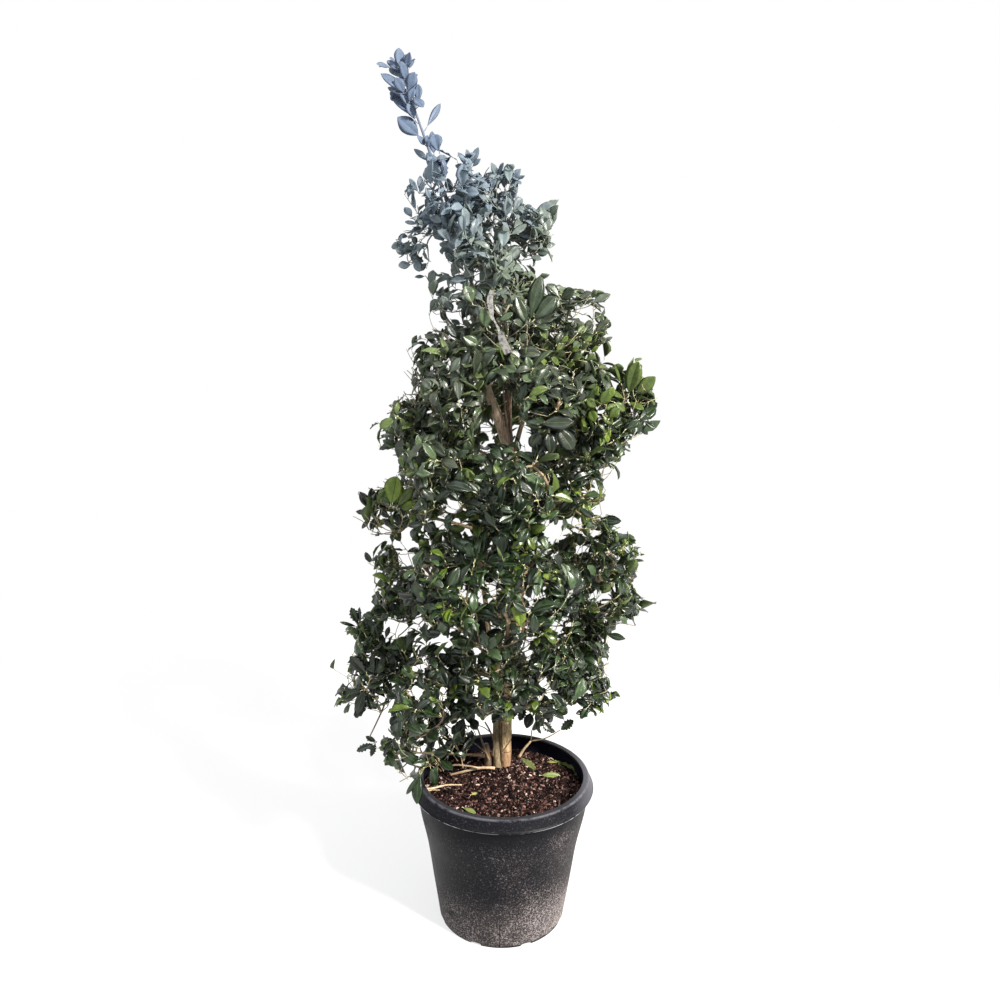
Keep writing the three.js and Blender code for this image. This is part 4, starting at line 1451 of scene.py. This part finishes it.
def addShoot(start, ahead, length, radius, outward, size=1.0, most=12):
    dice, count = leaves.dice, shoots["steps"]
    path = [np.array(start, float)]
    direction = normalised(ahead)
    wander = np.array([dice.uniform(-1, 1) for _ in range(3)]) * shoots["wander"]
    for _ in range(count):
        direction = normalised(direction + lift * shoots["rise"] + wander)
        path.append(path[-1] + direction * length / count)
    path = np.array(path)
    total = min(most, max(2, int(length / shoots["leafStep"])))
    spin = dice.uniform(0, 6.28)
    main = leaves.family()
    low, high = shoots["slack"]
    slack = low + (high - low) * dice.random() ** 1.8
    low, high = shoots["leafLength"]
    faceOn, faceUp, faceOut, faceChance = shoots["facing"]
    bare, lastShare = shoots["bareFoot"], 0
    for k in range(total + 2):
        share = min(1.0, bare + (1 - bare) * k / total)
        at = share * count
        step = min(count - 1, int(at))
        base = path[step] + (path[step + 1] - path[step]) * (at - step)
        along = normalised(path[step + 1] - path[step])
        spin += shoots["turn"] + dice.uniform(-shoots["turnChance"], shoots["turnChance"])
        sideways = normalised(np.cross(along, [0.3, 0.2, 1.0]))
        radial = sideways * math.cos(spin) + np.cross(along, sideways) * math.sin(spin)
        chance = dice.uniform(-shoots["spreadChance"], shoots["spreadChance"])
        spread = shoots["spread"] - shoots["spreadFall"] * share + chance
        spread -= shoots["lastFall"] if k > total else 0
        point = along * math.cos(spread) + radial * math.sin(spread)
        point = normalised(point + lift * dice.uniform(*shoots["nod"]))
        long = (low + (high - low) * dice.random() ** 1.3) * size * (0.78 + 0.30 * math.sin(share * 2.6))
        if not leaves.allowed(base, base + point * long, slack):
            continue
        lastShare = share
        face = along * faceOn + lift * faceUp + outward * faceOut + scatter(faceChance)
        face = normalised(face - point * np.dot(face, point))
        tone = main if dice.random() < shoots["ownFamily"] else leaves.family()
        width = long * dice.uniform(*shoots["leafWidth"])
        spiny = dice.random() < shoots["spinyShare"][int(base[2] > shoots["spinyHeight"])]
        leaves.add(base, point, face, long, width, tone, spiny)
    if lastShare:
        path = path[:max(2, int(math.ceil(lastShare * count)) + 1)]
        slot = barkSlot(twigKinds.index("twigGreen"), path[0])
        twigs.add(*tube(path, np.linspace(radius, radius * 0.6, len(path)), 3), slot)


def growRuns():
    dice = leaves.dice
    for run in chains:
        line = smoothCurve([places[i] for i in run], crown["twigStep"])
        weights = np.array([tipCounts[max(i, run[1])] for i in run])
        weights = np.minimum(crown["twigMost"], crown["twigTip"] * weights ** (1 / crown["twigPower"]))
        radii = np.interp(np.linspace(0, 1, len(line)), np.linspace(0, 1, len(run)), weights)
        jitter = np.array([scatter(1) for _ in line]) * crown["twigJitter"]
        jitter[0] = jitter[-1] = 0
        kind = "twigOld" if radii.mean() > shoots["sturdy"] else "twigBrown"
        slot = barkSlot(twigKinds.index(kind), line.mean(0))
        sides = crown["twigSides"][int(radii[0] <= shoots["sturdy"])]
        twigs.add(*tube(line + jitter, radii, sides), slot)
        for i in run[1:]:
            number = i - len(limbPoints)
            if number >= len(owners):
                continue
            spot = places[i]
            own = masses.middles[owners[number]]
            stem = trunkLine[np.abs(trunkLine[:, 2] - min(spot[2], shoots["high"])).argmin()]
            outward = (spot - stem) * np.array([0.8, 0.8, 0]) + (spot - np.array(own)) * 0.8
            outward = normalised(outward + lift * 0.02)
            outer = depths[number] < crown["shell"]
            size = (shoots["highSize"] if spot[2] > shoots["high"] else 1.0) * dice.uniform(*shoots["size"])
            if i == run[-1]:
                on, out, up, chance = shoots["tipAhead"]
                ahead = normalised(heading[i] * on + outward * out + lift * up + scatter(chance))
                length = dice.uniform(*shoots["tipLength"]) * (1.0 if outer else 0.6)
                addShoot(spot, ahead, length, shoots["tipRadius"], outward, size)
            elif dice.random() < (shoots["outerShare"] if outer else shoots["innerShare"]):
                on, out = shoots["sideAhead"]
                chance = np.array([dice.gauss(*each) for each in shoots["sideChance"]])
                ahead = normalised(heading[i] * on + outward * out + chance)
                length = dice.uniform(*shoots["sideLength"])
                addShoot(spot, ahead, length, shoots["tipRadius"] * 0.9, outward, size)


def growTrunkShoots():
    # Short shoots straight from the trunk, which keep most of it hidden
    low, top = shoots["trunkSpan"]
    turn = 0.0
    for i in range(0, len(trunkLine) - shoots["trunkEnd"], int(shoots["trunkStep"] / limbs["trunkStep"])):
        turn += shoots["turn"]
        spot = trunkLine[i]
        if not low < spot[2] < top:
            continue
        high = spot[2] > shoots["high"]
        outward = np.array([math.cos(turn), math.sin(turn), 0.0])
        ahead = normalised(outward + lift * leaves.dice.uniform(*shoots["trunkRise"]))
        length = leaves.dice.uniform(*shoots["trunkLength"]) * (0.7 if high else 1.0)
        start = spot + outward * trunkRadii[i] * 0.6
        size = 0.8 if high else 1.0
        addShoot(start, ahead, length, shoots["tipRadius"] * 1.3, outward, size, shoots["trunkLeaves"])


# How the leaves with a place of their own differ from what their group says
accentLook = {"longer": 1.04, "wider": 1.14, "spinyShare": 0.2, "calm": 0.75}


def addAccents(rows, look):
    dice = leaves.dice
    for foot, tip, width, spec in rows:
        ahead = normalised(tip - foot)
        face = np.array([dice.gauss(0.10, 0.22), -0.85, 0.45 + dice.gauss(0, 0.2)])
        face = normalised(face - ahead * np.dot(face, ahead))
        long = float(np.linalg.norm(tip - foot)) * look["longer"]
        wide = width * look["wider"]
        spiny = foot[2] < shoots["spinyHeight"] and dice.random() < look["spinyShare"]
        shift = -spec.get("clearer", 0.0)
        leaves.add(foot, ahead, face, long, wide, spec["tone"], spiny, look["calm"], shift)


# The two colours of each kind of twig
twigTones = {
    "twigOld": (srgb(112, 92, 72), srgb(152, 132, 102)),
    "twigBrown": (srgb(108, 95, 72), srgb(160, 148, 116)),
    "twigGreen": (srgb(112, 116, 72), srgb(184, 178, 132)),
    "twigPale": (srgb(176, 150, 118), srgb(206, 182, 150)),
    "twigRed": (srgb(96, 70, 60), srgb(170, 142, 124)),
    "stump": (srgb(84, 66, 52), srgb(122, 100, 80)),
}
twigKinds = list(twigTones)

growRuns()
growTrunkShoots()
addAccents(accentRows, accentLook)
report(f"shoots, {len(leaves.rows)} leaves")


# Leaf blades: a curved, folded blade with a pale midrib above, a paler underside and a stalk

blade = {
    "rows": 7,
    "spinyRows": 10,
    "fineRows": 16,  # for the leaves with a place of their own, which show their side veins
    "ridge": 0.045,
    "columns": (-1.0, -0.52, -0.045, 0.045, 0.52, 1.0),
    "ribColumn": 2,
    "ends": (0.22, 0.16),  # where the first and last row stand, in radians from the heel and the tip
    "teeth": (1.12, 0.74),  # the width of a spiny leaf at its spines and between them
    "lean": (0.90, 1.30),  # more moves the widest place to the tip
    "sharp": (0.58, 0.92),
    "curl": (0.45, 0.45),  # middle and spread
    "leastCurl": 0.05,
    "fold": (0.08, 0.50),
    "cup": 0.16,
    "wave": (0.02, 0.22),
    "waves": 15,
    "spinyWave": 1.6,
    "twist": 0.30,
    "bend": 0.16,
    "thick": 0.0005,
    "stalk": 0.12,  # share of the leaf's length
    "stalkWidth": 0.0011,
    "stalkSides": 3,
    "seed": 7,
}

leafTones = {
    # lime and olive: partly paler young leaves, partly painted light shining through sunlit leaves
    "families": {"deep": srgb(9, 21, 8), "plain": srgb(20, 36, 14), "light": srgb(52, 70, 42),
                 "olive": srgb(66, 82, 26), "lime": srgb(90, 108, 36), "fallen": srgb(112, 122, 72),
                 "fallenPale": srgb(150, 146, 88)},
    "glossy": ("deep", "plain", "light"),
    # the other parts of a leaf: their colour and roughness
    "parts": {"underMix": (srgb(78, 92, 56), 0.5), "rib": (srgb(60, 76, 40), 0.35),
              "stalk": (srgb(202, 196, 156), 0.5)},
}


def leafPaint(name, tone, gloss, coat):
    paint = Paint(name)
    mottle = paint.grain(75, 3.0)
    crinkle = paint.grain(210, 2.0)
    veins = paint.grain(480, 1.0)
    darker = tuple(c * (0.90 - 0.30 * coat) for c in tone)
    lighter = tuple(min(1, c * (1.08 + 0.27 * coat)) for c in tone)
    veined = tuple(min(1, c * 1.9 + 0.006) for c in tone)
    colour = paint.mix(mottle.between(0.3, 0.7), darker, lighter)
    colour = paint.mix(veins.between(0.5, 0.75) * (0.06 + 0.4 * coat), colour, veined)
    normal = paint.bump(crinkle * 0.7 + veins * 0.3, 0.3 + 0.9 * coat, 0.0017)
    return paint.finish(Base_Color=colour, Roughness=gloss + mottle * 0.12, Normal=normal,
                        Coat_Roughness=0.32, Coat_Weight=coat, Specular_IOR_Level=0.18)


def leafPaints(spec):
    # Every family at the first haze step, then at the next, and after them each other part at every step
    paints = []
    for step, (_, _, share) in enumerate(hazeSteps):
        for number, (name, tone) in enumerate(spec["families"].items()):
            coat = (0.80 if name in spec["glossy"] else 0.45) * (1 - share)
            paints.append(leafPaint(f"leaf{number}haze{step}", hazed(tone, step), 0.24 + 0.3 * share, coat))
    for kind, (tone, gloss) in spec["parts"].items():
        for step in range(len(hazeSteps)):
            paints.append(leafPaint(f"{kind}{step}", hazed(tone, step), gloss, 0.0))
    return paints


def bladeFaces(rowsIn, spec):
    # The faces of one leaf, each with its part: 0 blade, 1 underside, 2 midrib, 3 stalk. The points are the
    # top's, the underside's middle ones, the heel, the tip and the two ends of the stalk.
    columns = len(spec["columns"])
    under = rowsIn * columns
    heel = under + rowsIn
    tip, stalk, sides = heel + 1, heel + 2, spec["stalkSides"]
    lows = [(row * columns, under + row, row * columns + columns - 1) for row in range(rowsIn)]
    kinds = [2 if column == spec["ribColumn"] else 0 for column in range(columns - 1)]
    quads, quadKind, threes, threeKind = [], [], [], []
    for row in range(rowsIn - 1):
        for column, kind in enumerate(kinds):
            a = row * columns + column
            quads.append((a, a + 1, a + columns + 1, a + columns))
            quadKind.append(kind)
        for i in (0, 1):
            quads.append((lows[row][i + 1], lows[row][i], lows[row + 1][i], lows[row + 1][i + 1]))
            quadKind.append(1)
    last = (rowsIn - 1) * columns
    for column, kind in enumerate(kinds):
        threes += [(heel, column + 1, column), (tip, last + column, last + column + 1)]
        threeKind += [kind, kind]
    for i in (0, 1):
        threes += [(heel, lows[0][i], lows[0][i + 1]), (tip, lows[-1][i + 1], lows[-1][i])]
        threeKind += [1, 1]
    for k in range(sides):
        n = (k + 1) % sides
        quads.append((stalk + k, stalk + n, stalk + sides + n, stalk + sides + k))
        quadKind.append(3)
    return np.array(quads), quadKind, np.array(threes), threeKind


def makeBlades(rows, spiny, fine, spec, toneSpec):
    # All leaves of one kind at once: points, faces and material numbers
    rowCount = spec["fineRows"] if fine else spec["spinyRows"] if spiny else spec["rows"]
    rng = np.random.default_rng(spec["seed"] + spiny + 2 * fine)
    base = np.array([leaf.base for leaf in rows])
    ahead = normalised([leaf.ahead for leaf in rows])
    face = np.array([leaf.face for leaf in rows])
    face = normalised(face - ahead * (face * ahead).sum(1, keepdims=True))
    side = np.cross(ahead, face)
    length = np.array([leaf.length for leaf in rows])
    width = np.array([leaf.width for leaf in rows])
    wild = 1 - np.array([leaf.calm for leaf in rows])
    count = len(rows)
    share = (1 - np.cos(np.linspace(spec["ends"][0], math.pi - spec["ends"][1], rowCount - 1))) / 2
    lean, sharp = (rng.uniform(*spec[key], count)[:, None] for key in ("lean", "sharp"))
    wide = np.sin(math.pi * share[None, :] ** lean) ** sharp
    if spiny:
        wide = wide * np.where(np.arange(len(share)) % 2 == 1, *spec["teeth"])
    curl = (rng.normal(*spec["curl"], count) * wild)[:, None]
    curl = np.where(np.abs(curl) < spec["leastCurl"], spec["leastCurl"], curl)
    fold = (rng.uniform(*spec["fold"], count) * (0.4 + 0.6 * wild))[:, None, None]
    wavePhase = rng.uniform(0, 6.28, count)[:, None, None]
    waveSize = rng.uniform(*spec["wave"], count) * (spec["spinyWave"] if spiny else 1.0)
    waveSize = (waveSize * wild)[:, None, None]
    twist = (rng.normal(0, spec["twist"], count) * wild)[:, None]
    bend = (rng.normal(0, spec["bend"], count) * wild)[:, None]
    stalk = spec["stalk"] * length[:, None]
    body = length[:, None] - stalk

    def along(u):
        turn = curl * u
        return stalk + body * np.sin(turn) / curl, -body * (1 - np.cos(turn)) / curl, turn

    def surface(columns, lower):
        v = np.array(columns)[None, None, :]
        u = share[None, :]
        out, drop, turn = along(u)
        half = (width[:, None] / 2 * wide)[..., None]
        wave = np.sin(spec["waves"] * u[..., None] + wavePhase + 1.3 * np.sign(v))
        wave = waveSize * np.abs(v) ** 1.5 * wave
        up = half * (np.abs(v) * np.sin(fold) + spec["cup"] * np.sin(math.pi * np.abs(v)) + wave)
        if fine:
            ridges = ((-1.0) ** np.arange(len(share)))[None, :, None]
            up = up + half * spec["ridge"] * np.sin(math.pi * np.abs(v)) * ridges
        across = half * v * np.cos(fold)
        up = up - lower * spec["thick"]
        lean = twist[..., None] * u[..., None]
        x = across * np.cos(lean) - up * np.sin(lean) + (bend * body * u ** 2)[..., None]
        z = across * np.sin(lean) + up * np.cos(lean)
        y = out[..., None] + z * np.sin(turn)[..., None]
        z = drop[..., None] + z * np.cos(turn)[..., None]
        return (base[:, None, None, :] + ahead[:, None, None, :] * y[..., None]
                + side[:, None, None, :] * x[..., None] + face[:, None, None, :] * z[..., None])

    top = surface(spec["columns"], 0).reshape(count, -1, 3)
    under = surface((0.0,), 1).reshape(count, -1, 3)
    (tipOut, tipDrop, _), (heelOut, heelDrop, _) = (along(np.array([[u]])) for u in (1.0, 0.0))
    tip = base + ahead * tipOut + face * tipDrop + side * bend * body
    heel = base + ahead * heelOut + face * heelDrop
    ring = []
    for place, thick in ((base, 1.25), (heel, 0.85)):
        for k in range(spec["stalkSides"]):
            turn = 2.094 * k
            ring.append(place + (side * math.cos(turn) + face * math.sin(turn)) * spec["stalkWidth"] * thick)
    each = np.concatenate([top, under, heel[:, None], tip[:, None], np.stack(ring, 1)], axis=1)
    quads, quadKind, threes, threeKind = bladeFaces(len(share), spec)
    shift = (np.arange(count) * each.shape[1])[:, None, None]
    steps, families = len(hazeSteps), list(toneSpec["families"])
    family = np.array([families.index(leaf.tone) for leaf in rows])
    haze = np.array([leaf.haze for leaf in rows])
    first = len(families) * steps + haze
    kinds = np.stack([haze * len(families) + family, first, first + steps, first + 2 * steps], 1)
    slots = (kinds[:, quadKind].ravel(), kinds[:, threeKind].ravel())
    return each.reshape(-1, 3), (quads + shift).reshape(-1, 4), (threes + shift).reshape(-1, 3), slots


def makeFoliage(spec, toneSpec):
    # One piece for each tier of the crown, in place of the masses whose middles are in it
    paints = leafPaints(toneSpec)
    homes = [[] for _ in range(len(shoots["tiers"]) + 1)]
    for name in massNames():
        homes[leaves.tier(masses.middles[name].z)].append(name)
    for tier, nodes in enumerate(homes):
        pile = Pile()
        for spiny, fine in ((False, False), (True, False), (False, True), (True, True)):
            own = [leaf for leaf in leaves.rows
                   if leaf.tier == tier and leaf.spiny == spiny and (leaf.calm > 0.5) == fine]
            if own:
                pile.add(*makeBlades(own, spiny, fine, spec, toneSpec))
        settle(pile.piece(f"leavesTier{tier}", paints), "foliage", *nodes)


def twigPaint(name, base, tip, step):
    paint = Paint(f"{name}{step}")
    long = paint.grain(60, 3.0, (1, 1, 0.4))
    colour = paint.mix(long.between(0.35, 0.65), hazed(base, step), hazed(tip, step))
    return paint.finish(Base_Color=colour, Roughness=0.6, Normal=paint.bump(long, 0.3, 0.001))


# Twigs with a place of their own, by their kind: the upright plane they lie in, their first and last radius,
# and points in frame pixels
placedTwigs = {
    "twigOld": [
        (0.088, (0.0024, 0.0014), [(531, 741), (543, 739), (552, 735), (560, 730)]),
        (0.088, (0.0018, 0.0012), [(531, 741), (532, 730), (536, 722)]),
        (0.085, (0.0022, 0.0030), [(485, 722), (490, 731), (494, 742), (493, 756)]),
        (0.080, (0.0022, 0.0032), [(477, 727), (481, 738), (485, 750), (489, 760)]),
        (0.075, (0.0016, 0.0022), [(471, 741), (478, 746), (487, 754)]),
        (0.030, (0.0034, 0.0016), [(468, 336), (457, 329), (448, 320), (443, 309), (443, 301), (449, 296)]),
        (0.030, (0.0016, 0.0010), [(443, 305), (438, 305), (434, 306)]),
        (0.040, (0.0018, 0.0009), [(592, 620), (606, 624), (620, 623), (636, 626)]),
    ],
    "twigBrown": [
        (0.080, (0.0016, 0.0011), [(490, 732), (483, 727), (473, 724)]),
    ],
    "twigPale": [
        (0.088, (0.0040, 0.0028), [(519, 757), (524, 749), (531, 741)]),
        (0.060, (0.0042, 0.0030), [(495, 768), (480, 768), (466, 771), (450, 775)]),
        (0.050, (0.0030, 0.0018), [(479, 768), (468, 766), (455, 765), (446, 768)]),
        (0.020, (0.0018, 0.0010), [(463, 768), (461, 757), (456, 745), (449, 734)]),
        (0.030, (0.0016, 0.0011), [(447, 738), (456, 748), (464, 760)]),
        (0.032, (0.0014, 0.0009), [(464, 761), (466, 754), (468, 747)]),
        (0.028, (0.0014, 0.0009), [(458, 761), (454, 756), (450, 750)]),
        (-0.010, (0.0013, 0.0008), [(441, 771), (435, 764), (427, 755)]),
        (-0.012, (0.0012, 0.0008), [(438, 771), (430, 764), (422, 757)]),
        (-0.008, (0.0012, 0.0008), [(444, 771), (438, 763), (431, 754)]),
        (0.020, (0.0016, 0.0010), [(462, 762), (466, 754), (467, 747)]),
        (0.000, (0.0015, 0.0009), [(443, 767), (437, 758), (430, 750)]),
    ],
    "twigRed": [
        (0.060, (0.0030, 0.0018), [(510, 446), (507, 424), (504, 400), (503, 384)]),
        (0.058, (0.0028, 0.0016), [(512, 446), (511, 424), (511, 402), (513, 382)]),
    ],
    "stump": [
        (-0.100, (0.0018, 0.0026), [(527, 318), (527, 345), (528, 372), (524, 398)]),
        (0.094, (0.0125, 0.0075), [(489, 769), (488, 757), (486, 744)]),
    ],
}

# Dry twigs on the compost, in the same way but on a level plane
dryTwigs = [
    (0.360, (0.0034, 0.0018), [(421, 790), (434, 788), (447, 785), (462, 785)]),
    (0.361, (0.0016, 0.0010), [(423, 792), (433, 790), (440, 790)]),
    (0.366, (0.0013, 0.0009), [(421, 765), (432, 764), (442, 765)]),
]
placedLook = {"step": 0.006, "sides": 8, "stoutSides": 14, "stout": 0.005, "relief": (1.6, 31.0)}


def addPlacedTwig(kind, points, reach):
    look = placedLook
    line = smoothCurve(points, look["step"])
    radii = np.linspace(*reach, len(line))
    slot = barkSlot(twigKinds.index(kind), line.mean(0))
    sides = look["stoutSides"] if radii[0] > look["stout"] else look["sides"]
    twigs.add(*tube(line, radii, sides, barkRelief(*look["relief"])), slot)


def addPlacedTwigs():
    for kind, rows in placedTwigs.items():
        for plane, radii, pixels in rows:
            addPlacedTwig(kind, [sight.at(x, y, plane) for x, y in pixels], radii)
    for height, radii, pixels in dryTwigs:
        addPlacedTwig("twigPale", [sight.over(x, y, height) for x, y in pixels], radii)


# Fallen leaves: foot and tip in frame pixels, width in millimetres, tone, and whether it is spiny
fallen = [
    (519, 757, 534, 769, 22, "fallen", True), (550, 759, 581, 771, 32, "fallen", True),
    (539, 776, 559, 776, 24, "fallen", True), (462, 808, 475, 813, 18, "fallen", False),
    (556, 764, 548, 762, 12, "fallenPale", False), (470, 797, 477, 794, 9, "fallenPale", False),
]
# the level they are placed at, and how high foot and tip lie, all above the compost
fallenLook = {"seed": 5, "level": 0.007, "foot": 0.010, "tip": 0.009, "longer": 1.08, "calm": 0.8}


def addFallen(rows, look):
    dice = random.Random(look["seed"])
    level = compost["level"] + look["level"]
    for x0, y0, x1, y1, width, tone, spiny in rows:
        foot, tip = (sight.over(x, y, level) for x, y in ((x0, y0), (x1, y1)))
        foot[2] = soilHeight(foot[0], foot[1]) + look["foot"]
        tip[2] = soilHeight(tip[0], tip[1]) + look["tip"]
        face = np.array([dice.gauss(0, 0.2), -0.25 + dice.gauss(0, 0.2), 1.0])
        long = float(np.linalg.norm(tip - foot)) * look["longer"]
        leaves.add(foot, normalised(tip - foot), face, long, width / 1000, tone, spiny, look["calm"])


# Label: a bare tag on a strip

label = {
    "plane": -0.135,
    "thick": 0.0008,
    "sway": 0.006,
    "swayTurn": 7,  # radians of it along the strip
    "step": 2.0,
    # the white plastic painted grey as painted shade, with darker patches of painted shade
    "tone": srgb(152, 149, 145),
    "shade": srgb(92, 90, 88),
    # frame pixels, and width in tenths of a millimetre
    "points": [(492, 290, 90), (490, 299, 140), (491, 309, 120), (492, 317, 80), (495, 322, 40),
               (498, 328, 45), (499.5, 332, 60), (501, 335, 140), (504, 344, 190), (508.5, 353, 190)],
}


def addLabel(spec):
    # A closed ribbon through the points, each with its width
    even = smoothCurve(spec["points"], spec["step"])
    middles = np.array([sight.at(x, y, spec["plane"]) for x, y, _ in even])
    middles[:, 1] += spec["sway"] * np.sin(np.linspace(0, spec["swayTurn"], len(even)))
    ahead = normalised(np.gradient(middles, axis=0))
    side = normalised(np.cross(ahead, [0.25, 1.0, 0.1]))
    out = np.cross(side, ahead)
    half = even[:, 2:] / 2e4
    thick = spec["thick"] / 2
    rings = np.stack([middles + side * half * a + out * thick * b
                      for a, b in ((-1, -1), (1, -1), (1, 1), (-1, 1))], 1)
    last = 4 * (len(rings) - 1)
    quads = np.vstack([ringQuads(len(rings), 4), [(3, 2, 1, 0)], [tuple(range(last, last + 4))]])
    paint = Paint("labelPlastic")
    # painted shade: white plastic in grey, with darker patches
    tone = paint.mix(paint.grain(150, 4.0).between(0.45, 0.62), spec["tone"], spec["shade"])
    plastic = paint.finish(Base_Color=tone, Roughness=0.45)
    piece = makeMesh("label", rings.reshape(-1, 3), [quads], [plastic], smooth=False)
    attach(piece, "root")


addPlacedTwigs()
addFallen(fallen, fallenLook)
addLabel(label)
makeFoliage(blade, leafTones)
twigPaints = [twigPaint(name, *tones, step) for name, tones in twigTones.items()
              for step in range(len(hazeSteps))]
settle(twigs.piece("twigs", twigPaints), "bark")
report("foliage")

bpy.context.view_layer.update()
